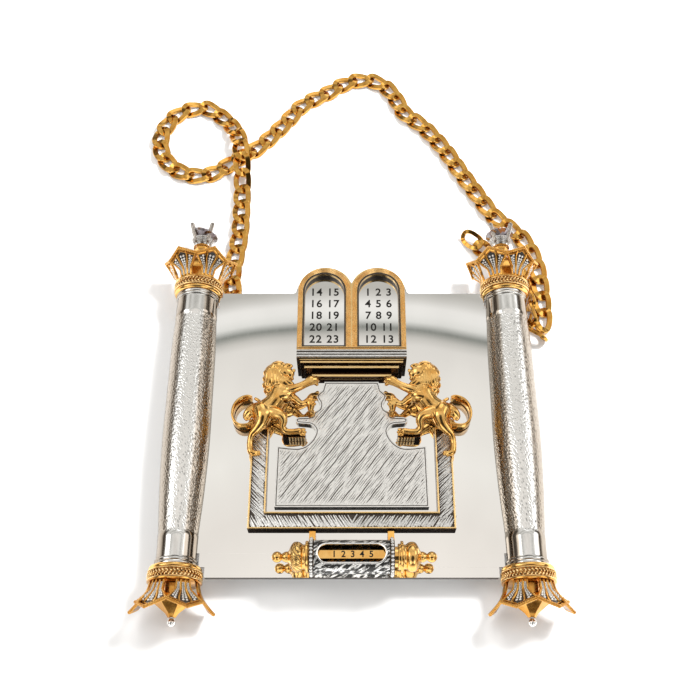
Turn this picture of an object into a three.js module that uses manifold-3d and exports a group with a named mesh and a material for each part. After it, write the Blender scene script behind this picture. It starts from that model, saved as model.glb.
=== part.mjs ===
// Torah shield: a polished plate between two columns, with tablets, lions,
// a U-shaped frame, a scroll holder with a turning drum, and a curb chain.
// Millimetres, +Z up. The shield lies on its back and +Y is its top.
import * as THREE from 'three';
import { mergeVertices } from 'three/addons/utils/BufferGeometryUtils.js';
import Module from 'manifold-3d';

const wasm = await Module();
wasm.setup();

// Sizes of the whole shield
const columnSpacing = 224;
const seatGap = 0.3;
const cutOver = 2;
const roundSides = 14;
const smallSides = 12;
const arcSteps = 8;

// The plate reaches a little beyond both ends of the columns
const plate = {
  thickness: 1.5,
  topRise: 7.5,
  bottomDrop: 10.6,
  slotDepth: 3,
  slotMargin: 5,
  tabMargin: 2,
  tabFillet: 3,
};

const column = {
  footY: -101,
  length: 190.5,
  radius: 16.3,
  bore: 11.4,
  bandStep: 0.3,
  heightShares: [0.086, 0.24, 0.42, 0.61, 0.8, 0.923],
  radiusShares: [0.81, 0.925, 1, 0.99, 0.97, 0.915],
  footShare: 0.8,
  headShare: 0.895,
};

const rod = { radius: 1.2, hole: 1.6, sides: 6 };
const collar = { height: 4, overhang: 0.8, spigot: 3 };
const cap = { radius: 17, band: 3.2, hub: 15.1, hubHeight: 5.6 };
const rope = { radius: 18, height: 5.2, sectionSides: 6 };
const crown = {
  lipRadius: 17.4,
  lip: 1.2,
  height: 18.9,
  tipRadius: 26,
  petal: 1.4,
  turns: [-90, -30, 30, 90],
  heightShares: [0, 0.35, 0.73, 1],
  radiusShares: [0.577, 0.64, 0.8, 1],
  widthShares: [0.165, 0.2, 0.47, 0],
};
const core = {
  sides: 6,
  radius: 10.4,
  footLength: 20.5,
  footHeightShares: [0, 0.32, 0.56, 0.74, 0.9, 1],
  footRadiusShares: [0.79, 0.79, 1, 0.82, 0.4, 0.24],
  headLength: 33.3,
  headHeightShares: [0, 0.2, 0.36, 0.54, 0.72, 0.87, 0.94, 1],
  headRadiusShares: [0.79, 0.79, 1, 0.8, 0.45, 0.42, 0.54, 0.54],
};
const finial = { radius: 2.6, sides: 8, rings: 6 };
const cup = { base: 5.2, rim: 7.8, height: 5.8, wall: 1, floor: 1.2 };
const prong = { count: 4, radius: 0.8, tip: 1.1, spread: 11, length: 16.5, sides: 5 };
const crystal = { girdleHeight: 10.4, girdle: 0.6, table: 5.2, tableHeight: 14.6, culetHeight: 2.2, sides: 8 };

const tablets = {
  height: 7.5,
  archDrop: 1.45,
  legs: 52.15,
  rail: 6.5,
  archX: 18.85,
  archRadius: 19.65,
  windowX: 19.55,
  windowRadius: 15.35,
  plate: 1,
};
const cornice = {
  bandHalf: 38.1,
  bandDepth: 16,
  bandHeight: 6,
  drop: 10.4,
  widthShares: [0.955, 0.89, 0.74, 0.56],
  depthShares: [0.89, 0.72, 0.47, 0.26],
  heightShares: [0.21, 0.46, 0.75, 1],
};
const frame = {
  height: 5.15,
  bar: 11.4,
  sideGap: 5.4,
  lowGap: 3.6,
  armAboveFoot: 19,
  rim: 1.2,
  floor: 2.2,
  infillDrop: 0.7,
};
const field = {
  height: 3.3,
  half: 50.5,
  bottomRise: 45.4,
  topGap: 2.4,
  // Edge points as shares of the half width, and of the lion's height from the top
  outlineShares: [
    [0.99, 0.724], [0.836, 0.738], [0.7, 0.741], [0.602, 0.711], [0.519, 0.642], [0.48, 0.562],
    [0.505, 0.51], [0.566, 0.481], [0.73, 0.465], [0.735, 0.41], [0.54, 0.396], [0.507, 0.349],
    [0.44, 0.307], [0.426, 0.249], [0.465, 0.191], [0.47, 0.15], [0.4, 0.096], [0.37, 0],
  ],
};
const scroll = {
  axisRise: 9.5,
  axisHeight: 13.7,
  radius: 10.5,
  bore: 9.3,
  half: 23.5,
  windowEnd: 2.4,
  windowWidth: 11.1,
};
const tubeEnd = { overhang: 1.9, lip: 2.6, web: 1.2, rim: 2.8, holeGap: 0.4 };
const drum = { apothem: 6.3, sides: 8, endGap: 1.2, offset: 1.05, spindle: 2.6, spindleReach: 5.5, shift: 1.65 };
const knob = {
  journal: 6.5,
  standOff: 3.65,
  shoulder: 8.2,
  shoulderLength: 1.6,
  flange: 9.9,
  flangeLength: 1.75,
  collar: 8,
  collarLength: 2.4,
  bulb: 9.4,
  bulbLength: 8.2,
  neck: 3.4,
  neckLength: 4.4,
  neckEnd: 1.8,
  ball: 3.43,
  ballSteps: 4,
};
const strap = { width: 4.1, thickness: 3.4, riseShare: 0.72 };

const lion = {
  height: 66,
  footInset: 3.3,
  dropShare: 0.8545,
  sides: 6,
  thinSides: 5,
};
const eye = { inset: 24, drop: 3.5, width: 7, depth: 6.5, thickness: 2, hole: 2 };
const jumpRing = { radius: 4.8, wire: 0.9, sides: 12, wireSides: 6, hang: 1.2 };
const link = { pitch: 14.15, halfWidth: 4.6, wire: 3.2, thickness: 2.3, twist: 1.38, steps: 8, bite: 0.2 };
const endLink = { halfLength: 8, halfWidth: 5, wire: 2.4 };
const chain = {
  splits: [6, 28, 45],
  samples: 2000,
  // Link numbers, and the roll of the chain there in degrees: it stands on edge beside the column
  rolls: [[54, 0], [56, 90], [57, 90], [58.2, 0]],
  // Where the chain lies: X and Y from the left eye, and lift above its resting height
  route: [
    [0, 11.6, 3.8], [-0.6, 19, 1.8], [-1.6, 26, 0.4], [-2.4, 32.1, 0], [-2.1, 41, 0], [-0.2, 56.3, 0],
    [1.6, 74.6, 0], [1.7, 94.5, 0], [1.5, 108, 0], [1.3, 119, 0.8], [1, 128.5, 3], [0.4, 138.5, 5.7],
    [-0.8, 149.5, 6.6], [-2.6, 160.5, 5.7], [-6.2, 171.5, 3], [-11.5, 181, 0.8], [-19, 190, 0],
    [-33.5, 199.7, 0], [-54.5, 194.3, 0], [-66.9, 173.7, 0], [-66.4, 154.9, 0], [-56.5, 139, 0],
    [-38.5, 130.5, 0], [-21.5, 133.3, 0], [-6.1, 145.4, 0], [11.8, 158.4, 0], [31, 180.7, 0],
    [48.1, 203.6, 0], [65.9, 215.2, 0], [83.9, 227.1, 0], [96.9, 230.6, 0], [109.8, 228.1, 0],
    [119.7, 219.7, 0], [126.5, 207.3, 0], [132.5, 194.5, 0], [147, 180.6, 0], [163.2, 157.5, 0],
    [177.4, 130.5, 0], [189.8, 107.9, 0], [199.3, 91.4, 0], [211.7, 78.7, 0], [219.8, 69.5, 0],
    [225.8, 56, 0], [228.8, 43, 0], [230, 28.4, 0], [230.1, 15, 0], [229.8, 2, 0.2], [228, -8, 1.8],
    [224.2, -13.8, 3.6], [221, -8.6, 3.8], [220.8, 2, 3.6], [220.8, 14, 3.4], [220.4, 22, 1.4],
    [218.4, 31, 0], [213.6, 39.5, 0], [206, 46.5, 0], [197.5, 53.4, 0], [189, 60.3, 0],
  ],
};

const silver = new THREE.MeshStandardMaterial({ color: 0xc9c7c3, roughness: 0.18, metalness: 1 });
const satinSilver = new THREE.MeshStandardMaterial({ color: 0xb9b7b2, roughness: 0.4, metalness: 1 });
const gold = new THREE.MeshStandardMaterial({ color: 0xd9a441, roughness: 0.22, metalness: 1 });
const clear = new THREE.MeshStandardMaterial({ color: 0xe9edf0, roughness: 0.02, metalness: 0 });

const shield = new THREE.Group();
const plateFront = plate.thickness / 2;
const front = plateFront + seatGap;

// Closed solid from a geometry: shared corners welded, flat triangles dropped
function solid(geometry) {
  const bare = new THREE.BufferGeometry();
  bare.setAttribute('position', geometry.getAttribute('position'));
  bare.setIndex(geometry.getIndex());
  const welded = mergeVertices(bare);
  const corners = welded.getIndex().array;
  const kept = [];
  for (let i = 0; i < corners.length; i += 3) {
    const [a, b, c] = [corners[i], corners[i + 1], corners[i + 2]];
    if (a !== b && b !== c && c !== a) kept.push(a, b, c);
  }
  return new wasm.Manifold(new wasm.Mesh({
    numProp: 3,
    vertProperties: Float32Array.from(welded.getAttribute('position').array),
    triVerts: Uint32Array.from(kept),
  }));
}

function geometryOf(manifold) {
  const mesh = manifold.getMesh();
  const geometry = new THREE.BufferGeometry();
  geometry.setAttribute('position', new THREE.BufferAttribute(mesh.vertProperties, 3));
  geometry.setIndex(new THREE.BufferAttribute(mesh.triVerts, 1));
  return geometry;
}

function piece(name, manifold, material, parent = shield) {
  const mesh = new THREE.Mesh(geometryOf(manifold), material);
  mesh.name = name;
  parent.add(mesh);
  return mesh;
}

function joined(solids) {
  return wasm.Manifold.union(solids);
}

function box(width, depth, height, x, y, z) {
  return solid(new THREE.BoxGeometry(width, depth, height).translate(x, y, z));
}

// Turned about the Y axis from a closed profile of [radius, height] points
function turned(points, sides) {
  const closed = [...points, points[0]].map(([r, y]) => new THREE.Vector2(r, y));
  return solid(new THREE.LatheGeometry(closed, sides));
}

function extruded(shape, height, z) {
  const options = { depth: height, bevelEnabled: false, curveSegments: arcSteps };
  return solid(new THREE.ExtrudeGeometry(shape, options).translate(0, 0, z));
}

function polygon(points) {
  return new THREE.Shape(points.map(([x, y]) => new THREE.Vector2(x, y)));
}

// Loft of round sections: stations are [x, y, z, radius]
function tapered(stations, sides) {
  const centres = stations.map(([x, y, z]) => new THREE.Vector3(x, y, z));
  const corners = [];
  const faces = [];
  let across = new THREE.Vector3(0, 0, 1);
  stations.forEach(([, , , radius], i) => {
    const before = centres[Math.max(i - 1, 0)];
    const after = centres[Math.min(i + 1, centres.length - 1)];
    const along = after.clone().sub(before).normalize();
    const side = across.clone().cross(along).normalize();
    const up = along.clone().cross(side);
    across = up;
    for (let k = 0; k < sides; k++) {
      const angle = (2 * Math.PI * k) / sides;
      const corner = centres[i].clone()
        .addScaledVector(side, radius * Math.cos(angle))
        .addScaledVector(up, radius * Math.sin(angle));
      corners.push(...corner.toArray());
      const next = (k + 1) % sides;
      if (i > 0) {
        const [low, high] = [(i - 1) * sides, i * sides];
        faces.push(low + k, low + next, high + next, low + k, high + next, high + k);
      }
    }
  });
  const last = (stations.length - 1) * sides;
  for (let k = 1; k < sides - 1; k++) {
    faces.push(0, k + 1, k);
    faces.push(last, last + k, last + k + 1);
  }
  const geometry = new THREE.BufferGeometry();
  geometry.setAttribute('position', new THREE.Float32BufferAttribute(corners, 3));
  geometry.setIndex(faces);
  return solid(geometry);
}

// Closed loop of wire lying round +Z, with a section of [outward, up] corners
function wireLoop(points, section) {
  const corners = [];
  const faces = [];
  const count = points.length;
  const sides = section.length;
  const up = new THREE.Vector3(0, 0, 1);
  points.forEach((point, i) => {
    const along = points[(i + 1) % count].clone().sub(points[(i + count - 1) % count]).normalize();
    const outward = along.clone().cross(up).normalize();
    const raised = outward.clone().cross(along).negate();
    section.forEach(([out, high], k) => {
      const corner = point.clone().addScaledVector(outward, out).addScaledVector(raised, -high);
      corners.push(...corner.toArray());
      const [here, ahead] = [i * sides, ((i + 1) % count) * sides];
      const next = (k + 1) % sides;
      faces.push(here + k, ahead + k, ahead + next, here + k, ahead + next, here + next);
    });
  });
  const geometry = new THREE.BufferGeometry();
  geometry.setAttribute('position', new THREE.Float32BufferAttribute(corners, 3));
  geometry.setIndex(faces);
  return geometry;
}

function ellipsoid(x, y, z, rx, ry, rz) {
  const ball = new THREE.SphereGeometry(1, lion.sides, lion.thinSides);
  return solid(ball.scale(rx, ry, rz).translate(x, y, z));
}

function mirroredX(manifold) {
  return manifold.mirror([1, 0, 0]);
}

// Places along Y, from the plate's top edge down and from its bottom edge up
const columnEndY = column.footY + column.length;
const plateTopY = columnEndY + plate.topRise;
const plateBottomY = column.footY - plate.bottomDrop;
const archY = plateTopY - tablets.archDrop;
const tabletBottomY = archY - tablets.legs;
const windowBottomY = tabletBottomY + tablets.rail;
const bandTopY = tabletBottomY - seatGap;
const bandBottomY = bandTopY - cornice.bandHeight;
const corniceTopY = bandBottomY - seatGap;
const corniceBottomY = corniceTopY - cornice.drop;
const fieldTopY = corniceBottomY - field.topGap;
const fieldBottomY = plateBottomY + field.bottomRise;
const lionFootY = corniceBottomY - lion.dropShare * lion.height;
const scrollY = plateBottomY + scroll.axisRise;

// Shield plate
const narrowHalf = columnSpacing / 2 - rope.radius - seatGap;
const wideHalf = columnSpacing / 2 - column.radius * column.footShare + plate.slotDepth;
const slotLowY = column.footY + plate.slotMargin;
const slotHighY = columnEndY - plate.slotMargin;

function plateShape() {
  const { tabFillet } = plate;
  const { archX, archRadius } = tablets;
  const radius = archRadius + plate.tabMargin;
  const rise = tabFillet + tablets.archDrop;
  const filletX = archX + Math.sqrt((radius + tabFillet) ** 2 - rise ** 2);
  const meet = Math.atan2(rise, filletX - archX);
  const notch = Math.acos(archX / radius);
  const shape = new THREE.Shape();
  shape.moveTo(-narrowHalf, plateBottomY);
  shape.lineTo(narrowHalf, plateBottomY);
  shape.lineTo(narrowHalf, slotLowY);
  shape.lineTo(wideHalf, slotLowY);
  shape.lineTo(wideHalf, slotHighY);
  shape.lineTo(narrowHalf, slotHighY);
  shape.lineTo(narrowHalf, plateTopY);
  shape.absarc(filletX, plateTopY + tabFillet, tabFillet, -Math.PI / 2, meet - Math.PI, true);
  shape.absarc(archX, archY, radius, meet, Math.PI - notch, false);
  shape.absarc(-archX, archY, radius, notch, Math.PI - meet, false);
  shape.absarc(-filletX, plateTopY + tabFillet, tabFillet, -meet, -Math.PI / 2, true);
  shape.lineTo(-narrowHalf, plateTopY);
  shape.lineTo(-narrowHalf, slotHighY);
  shape.lineTo(-wideHalf, slotHighY);
  shape.lineTo(-wideHalf, slotLowY);
  shape.lineTo(-narrowHalf, slotLowY);
  return shape;
}
piece('shield_plate', extruded(plateShape(), plate.thickness, -plateFront), silver);

// Chain eyes on the back of the plate
const eyeHoleZ = eye.depth - eye.hole * 1.6;
const eyeX = columnSpacing / 2 - eye.inset;
const eyeY = columnEndY - eye.drop;
for (const [side, sign] of [['left', -1], ['right', 1]]) {
  const shape = new THREE.Shape();
  shape.moveTo(-eye.width / 2, 0);
  shape.lineTo(-eye.width / 2, -eyeHoleZ);
  shape.absarc(0, -eyeHoleZ, eye.width / 2, Math.PI, 2 * Math.PI, false);
  shape.lineTo(eye.width / 2, 0);
  const hole = new THREE.Path();
  hole.absarc(0, -eyeHoleZ, eye.hole, 0, 2 * Math.PI, true);
  shape.holes.push(hole);
  const lug = piece(`chain_eye_${side}`, extruded(shape, eye.thickness, -eye.thickness / 2), silver);
  lug.position.set(sign * eyeX, eyeY, -front);
  lug.rotation.x = Math.PI / 2;
}

// Columns
function shaftSolid() {
  const { length, radius, bore, bandStep, heightShares, radiusShares } = column;
  const heights = heightShares.map((share) => share * length);
  const radii = radiusShares.map((share) => share * radius);
  const last = heights.length - 1;
  const outside = heights.map((y, i) => [radii[i] - bandStep, y]);
  return turned([
    [bore, 0],
    [radius * column.footShare, 0],
    [radii[0], heights[0]],
    ...outside,
    [radii[last], heights[last]],
    [radius * column.headShare, length],
    [bore, length],
  ], roundSides);
}

function collarSolid(endRadius) {
  const spigotRadius = column.bore - seatGap;
  return turned([
    [rod.hole, -collar.spigot],
    [spigotRadius, -collar.spigot],
    [spigotRadius, seatGap],
    [endRadius + collar.overhang, seatGap],
    [endRadius + collar.overhang, collar.height],
    [rod.hole, collar.height],
  ], roundSides);
}

function capSolid() {
  return turned([
    [rod.hole, 0],
    [cap.radius, 0],
    [cap.radius, cap.band],
    [cap.hub, cap.band],
    [cap.hub, cap.band + cap.hubHeight],
    [rod.hole, cap.band + cap.hubHeight],
  ], roundSides);
}

function ropeSolid() {
  const inner = cap.hub + seatGap;
  const middle = (rope.radius + inner) / 2;
  const section = [];
  for (let k = 0; k < rope.sectionSides; k++) {
    const angle = (2 * Math.PI * (k + 1 / 2)) / rope.sectionSides;
    section.push([
      middle + ((rope.radius - inner) / 2) * Math.cos(angle) / Math.cos(Math.PI / rope.sectionSides),
      (rope.height / 2) * Math.sin(angle) / Math.cos(0),
    ]);
  }
  return turned(section, roundSides);
}

// A petal is cut flat, then bent outwards along its height
function petalSolid() {
  const { height, lip, petal, tipRadius, heightShares, radiusShares, widthShares } = crown;
  const sink = lip / 2;
  const right = heightShares.map((share, i) => [
    widthShares[i] * tipRadius,
    i === 0 ? -sink : share * height,
  ]);
  const left = right.slice(0, -1).reverse().map(([x, y]) => [-x, y]);
  const flat = new THREE.ExtrudeGeometry(polygon([...right, ...left]), { depth: petal, bevelEnabled: false });
  const corners = flat.getAttribute('position');
  for (let i = 0; i < corners.count; i++) {
    const share = Math.max(corners.getY(i), 0) / height;
    let step = 1;
    while (step < heightShares.length - 1 && share > heightShares[step]) step++;
    const part = (share - heightShares[step - 1]) / (heightShares[step] - heightShares[step - 1]);
    const flare = THREE.MathUtils.lerp(radiusShares[step - 1], radiusShares[step], part);
    corners.setZ(i, flare * tipRadius - petal + corners.getZ(i));
  }
  return flat;
}

// The crown's back has no petals, so that the shield lies flat; front is 1, or -1 on a turned stack
function crownSolid(front) {
  const ring = turned([
    [rod.hole, -crown.lip],
    [crown.lipRadius, -crown.lip],
    [crown.lipRadius, 0],
    [rod.hole, 0],
  ], roundSides);
  const back = front > 0 ? 0 : Math.PI;
  const petals = crown.turns.map((turn) => solid(petalSolid().rotateY(back + THREE.MathUtils.degToRad(turn))));
  return joined([ring, ...petals]);
}

function coreSolid(length, heightShares, radiusShares) {
  const outside = heightShares.map((share, i) => [radiusShares[i] * core.radius, share * length]);
  return turned([[rod.hole, 0], ...outside, [rod.hole, length]], core.sides);
}

function prongRadiusAt(height) {
  const part = (height - cup.height) / (prong.length - cup.height);
  return THREE.MathUtils.lerp(cup.rim - prong.radius, prong.spread, part);
}

function cupSolid() {
  const bowl = turned([
    [0, 0],
    [cup.base, 0],
    [cup.rim, cup.height],
    [cup.rim - cup.wall, cup.height],
    [cup.base / 2, cup.floor],
    [0, cup.floor],
  ], smallSides);
  const prongs = [];
  for (let k = 0; k < prong.count; k++) {
    const angle = (2 * Math.PI * (k + 1 / 2)) / prong.count;
    const at = (radius, height) => [radius * Math.cos(angle), height, radius * Math.sin(angle)];
    prongs.push(tapered([
      [...at(prongRadiusAt(cup.height - prong.radius * 2), cup.height - prong.radius * 2), prong.radius],
      [...at(prongRadiusAt(prong.length - prong.tip * 2), prong.length - prong.tip * 2), prong.radius],
      [...at(prong.spread, prong.length), prong.tip],
    ], prong.sides));
  }
  return joined([bowl, ...prongs]);
}

function crystalSolid() {
  const girdleRadius = prongRadiusAt(crystal.girdleHeight) - prong.radius * 1.1 - seatGap;
  return turned([
    [0, crystal.culetHeight],
    [girdleRadius, crystal.girdleHeight - crystal.girdle / 2],
    [girdleRadius, crystal.girdleHeight + crystal.girdle / 2],
    [crystal.table, crystal.tableHeight],
    [0, crystal.tableHeight],
  ], crystal.sides);
}

// Heights in a capital, counted outwards from the end of the shaft
const capStart = collar.height + seatGap;
const ropeMiddle = capStart + cap.band + seatGap + rope.height / 2;
const crownStart = capStart + cap.band + cap.hubHeight + seatGap + crown.lip;
const coreStart = crownStart + seatGap;

function capital(place, end, endShare, parent) {
  const put = (name, manifold, material, height) => {
    piece(`${place}_${end}_${name}`, manifold, material, parent).position.y = height;
  };
  put('collar', collarSolid(column.radius * endShare), silver, 0);
  put('cap', capSolid(), gold, capStart);
  put('rope_ring', ropeSolid(), gold, ropeMiddle);
  put('crown', crownSolid(end === 'upper' ? 1 : -1), gold, crownStart);
}

const slotWidth = plate.thickness + 2 * seatGap;
for (const [side, sign] of [['left', -1], ['right', 1]]) {
  const stack = new THREE.Group();
  stack.position.set((sign * columnSpacing) / 2, column.footY, 0);
  shield.add(stack);

  const slotLength = slotHighY - slotLowY + 2 * seatGap;
  const slot = box(column.radius + cutOver, slotLength, slotWidth,
    -sign * (column.radius + cutOver) / 2, (slotHighY + slotLowY) / 2 - column.footY, 0);
  piece(`${side}_column_shaft`, shaftSolid().subtract(slot), satinSilver, stack);

  const head = new THREE.Group();
  head.position.y = column.length;
  stack.add(head);
  capital(side, 'upper', column.headShare, head);
  const headCore = coreSolid(core.headLength, core.headHeightShares, core.headRadiusShares);
  piece(`${side}_upper_core`, headCore, gold, head).position.y = coreStart;
  const setting = new THREE.Group();
  setting.position.y = coreStart + core.headLength + seatGap;
  head.add(setting);
  piece(`${side}_prong_cup`, cupSolid(), silver, setting);
  piece(`${side}_crystal`, crystalSolid(), clear, setting);

  const foot = new THREE.Group();
  foot.rotation.x = Math.PI;
  stack.add(foot);
  capital(side, 'lower', column.footShare, foot);
  const footCore = coreSolid(core.footLength, core.footHeightShares, core.footRadiusShares);
  piece(`${side}_lower_core`, footCore, gold, foot).position.y = coreStart;
  const ball = solid(new THREE.SphereGeometry(finial.radius, finial.sides, finial.rings));
  const footEnd = coreStart + core.footLength;
  piece(`${side}_ball_finial`, ball, silver, foot).position.y = footEnd + seatGap + finial.radius;

  const rodEnd = column.length + coreStart + core.headLength;
  const tie = solid(new THREE.CylinderGeometry(rod.radius, rod.radius, footEnd + rodEnd, rod.sides));
  piece(`${side}_tie_rod`, tie, satinSilver, stack).position.y = (rodEnd - footEnd) / 2;
}

// Tablets
function archPath(path, x, radius, lowY) {
  path.moveTo(x - radius, lowY);
  path.lineTo(x + radius, lowY);
  path.absarc(x, archY, radius, 0, Math.PI, false);
  return path;
}

function tabletFrameShape() {
  const { archX, archRadius } = tablets;
  const notch = Math.acos(archX / archRadius);
  const shape = new THREE.Shape();
  shape.moveTo(-archX - archRadius, tabletBottomY);
  shape.lineTo(archX + archRadius, tabletBottomY);
  shape.absarc(archX, archY, archRadius, 0, Math.PI - notch, false);
  shape.absarc(-archX, archY, archRadius, notch, Math.PI, false);
  return shape;
}
const tabletHeight = tablets.height - seatGap;
let tabletFrame = extruded(tabletFrameShape(), tabletHeight, front);
for (const x of [-tablets.windowX, tablets.windowX]) {
  const opening = archPath(new THREE.Shape(), x, tablets.windowRadius, windowBottomY);
  tabletFrame = tabletFrame.subtract(extruded(opening, tablets.height + cutOver, 0));
}
piece('tablet_frame', tabletFrame, gold);
for (const [side, sign] of [['left', -1], ['right', 1]]) {
  const radius = tablets.windowRadius - seatGap;
  const leaf = archPath(new THREE.Shape(), sign * tablets.windowX, radius, windowBottomY + seatGap);
  piece(`${side}_tablet_plate`, extruded(leaf, tablets.plate, front), satinSilver);
}

// Cornice under the tablets: a silver band over gold tiers that step back
const bandDepth = cornice.bandDepth - seatGap;
const bandMiddleY = (bandTopY + bandBottomY) / 2;
const band = box(2 * cornice.bandHalf, cornice.bandHeight, bandDepth, 0, bandMiddleY, front + bandDepth / 2);
piece('cornice_band', band, satinSilver);

function corniceSolid() {
  return joined(cornice.widthShares.map((share, i) => {
    const half = share * cornice.bandHalf;
    const depth = cornice.depthShares[i] * cornice.bandDepth;
    const drop = cornice.heightShares[i] * cornice.drop;
    return box(2 * half, drop, depth, 0, corniceTopY - drop / 2, front + depth / 2);
  }));
}
piece('cornice', corniceSolid(), gold);

// U-shaped frame with a raised rim, and its engraved infill
const frameInner = field.half + frame.sideGap;
const frameOuter = frameInner + frame.bar;
const frameInnerLowY = fieldBottomY - frame.lowGap;
const frameLowY = frameInnerLowY - frame.bar;

function frameShape(inset) {
  const outer = frameOuter - inset;
  const inner = frameInner + inset;
  const top = lionFootY + frame.armAboveFoot - inset;
  const low = frameInnerLowY - inset;
  return polygon([
    [-outer, frameLowY + inset], [outer, frameLowY + inset], [outer, top], [inner, top],
    [inner, low], [-inner, low], [-inner, top], [-outer, top],
  ]);
}
const frameTop = plateFront + frame.height;
const frameBlank = extruded(frameShape(0), frame.height - seatGap, front);
const channel = extruded(frameShape(frame.rim), frame.height, front + frame.floor);
piece('u_frame', frameBlank.subtract(channel), gold);
const infillLow = front + frame.floor + seatGap;
const infill = extruded(frameShape(frame.rim + seatGap), frameTop - frame.infillDrop - infillLow, infillLow);
piece('frame_infill', infill, satinSilver);

// Engraved field plate with bites for the lions' paws
function fieldShape() {
  const edge = field.outlineShares.map(([x, y]) => [x * field.half, fieldTopY - y * lion.height]);
  const right = [[field.half, fieldBottomY], ...edge];
  const left = right.map(([x, y]) => [-x, y]).reverse();
  return polygon([...right, ...left]);
}
piece('field_plate', extruded(fieldShape(), field.height - seatGap, front), satinSilver);

// Lion, facing +X, its back on the plane z = 0 and its hind foot at the origin
function limb(shares, sides) {
  return tapered(shares.map((station) => station.map((share) => share * lion.height)), sides);
}

function lump(...shares) {
  return ellipsoid(...shares.map((share) => share * lion.height));
}

function lionSolid() {
  const trunkShares = [[0.1, 0.36, 0.06, 0.06], [0.13, 0.43, 0.08, 0.1], [0.21, 0.52, 0.09, 0.085],
    [0.26, 0.6, 0.1, 0.1], [0.23, 0.72, 0.09, 0.09]];
  const raisedShares = [[0.24, 0.67, 0.12, 0.075], [0.36, 0.685, 0.14, 0.05], [0.48, 0.735, 0.12, 0.036],
    [0.58, 0.785, 0.09, 0.036], [0.64, 0.815, 0.08, 0.05]];
  const lowerShares = [[0.28, 0.6, 0.06, 0.07], [0.4, 0.51, 0.06, 0.048], [0.49, 0.46, 0.055, 0.04],
    [0.55, 0.52, 0.05, 0.035], [0.575, 0.63, 0.05, 0.045]];
  const rearShares = [[0.13, 0.42, 0.1, 0.095], [0.085, 0.31, 0.1, 0.075], [0.045, 0.2, 0.08, 0.045],
    [0.01, 0.1, 0.06, 0.035], [0, 0.045, 0.05, 0.038], [0.09, 0.03, 0.05, 0.03]];
  const hindShares = [[0.17, 0.45, 0.08, 0.09], [0.27, 0.415, 0.09, 0.075], [0.345, 0.36, 0.09, 0.058],
    [0.325, 0.28, 0.07, 0.04], [0.35, 0.23, 0.06, 0.042], [0.53, 0.22, 0.05, 0.036]];
  const tailShares = [[0.06, 0.33, 0.06, 0.04], [-0.08, 0.275, 0.05, 0.032], [-0.165, 0.31, 0.045, 0.03],
    [-0.21, 0.43, 0.045, 0.03], [-0.185, 0.555, 0.045, 0.03], [-0.1, 0.62, 0.045, 0.034],
    [0, 0.6, 0.045, 0.042], [0.045, 0.52, 0.045, 0.045], [0.005, 0.445, 0.045, 0.04],
    [-0.06, 0.41, 0.045, 0.02]];
  const figure = joined([
    limb(trunkShares, lion.sides),
    lump(0.205, 0.78, 0.09, 0.125, 0.22, 0.1),
    lump(0.29, 0.87, 0.1, 0.09, 0.09, 0.085),
    lump(0.355, 0.835, 0.1, 0.05, 0.045, 0.05),
    lump(0.245, 0.965, 0.13, 0.035, 0.04, 0.03),
    limb(raisedShares, lion.thinSides),
    limb(lowerShares, lion.thinSides),
    limb(rearShares, lion.sides),
    limb(hindShares, lion.sides),
    limb(tailShares, lion.thinSides),
  ]);
  const behind = box(2 * lion.height, 2 * lion.height, lion.height, 0, lion.height / 2, -lion.height / 2);
  return figure.subtract(behind);
}

// Block under the lion's forward hind paw, down to the plate
function pawBlock() {
  const [leftShare, rightShare, lowShare, highShare, sunkShare] = [0.3, 0.52, 0.185, 0.245, 0.03];
  const width = (rightShare - leftShare) * lion.height;
  const depth = (highShare - lowShare) * lion.height;
  const tall = frame.height + sunkShare * lion.height;
  return box(width, depth, tall, (leftShare + rightShare) / 2 * lion.height,
    (lowShare + highShare) / 2 * lion.height, sunkShare * lion.height - tall / 2);
}
const lionBody = joined([lionSolid(), pawBlock()]);
const lionX = frameOuter - lion.footInset;
piece('left_lion', lionBody, gold).position.set(-lionX, lionFootY, frameTop + seatGap);
piece('right_lion', mirroredX(lionBody), gold).position.set(lionX, lionFootY, frameTop + seatGap);

// Scroll holder: built along Y, then turned so that its axis runs along X
const holder = new THREE.Group();
holder.position.set(0, scrollY, plateFront + scroll.axisHeight);
holder.rotation.z = -Math.PI / 2;
shield.add(holder);

function scrollWindow() {
  const radius = scroll.windowWidth / 2;
  const reach = scroll.half - scroll.windowEnd - radius;
  const shape = new THREE.Shape();
  shape.absarc(0, reach, radius, 0, Math.PI, false);
  shape.absarc(0, -reach, radius, Math.PI, 2 * Math.PI, false);
  return extruded(shape, scroll.radius + cutOver, 0);
}

const tube = turned([
  [scroll.bore, -scroll.half],
  [scroll.radius, -scroll.half],
  [scroll.radius, scroll.half],
  [scroll.bore, scroll.half],
], roundSides).subtract(scrollWindow());
piece('scroll_tube', tube, satinSilver, holder);

const endRadius = scroll.radius + tubeEnd.overhang;

function tubeEndSolid() {
  const start = scroll.half + seatGap;
  const recess = endRadius - tubeEnd.lip;
  const hole = knob.journal + tubeEnd.holeGap;
  return turned([
    [hole, start],
    [endRadius - tubeEnd.web, start],
    [endRadius, start + tubeEnd.rim / 2],
    [endRadius - tubeEnd.web / 2, start + tubeEnd.rim],
    [recess, start + tubeEnd.rim],
    [recess, start + tubeEnd.web],
    [hole, start + tubeEnd.web],
  ], roundSides);
}

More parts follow.
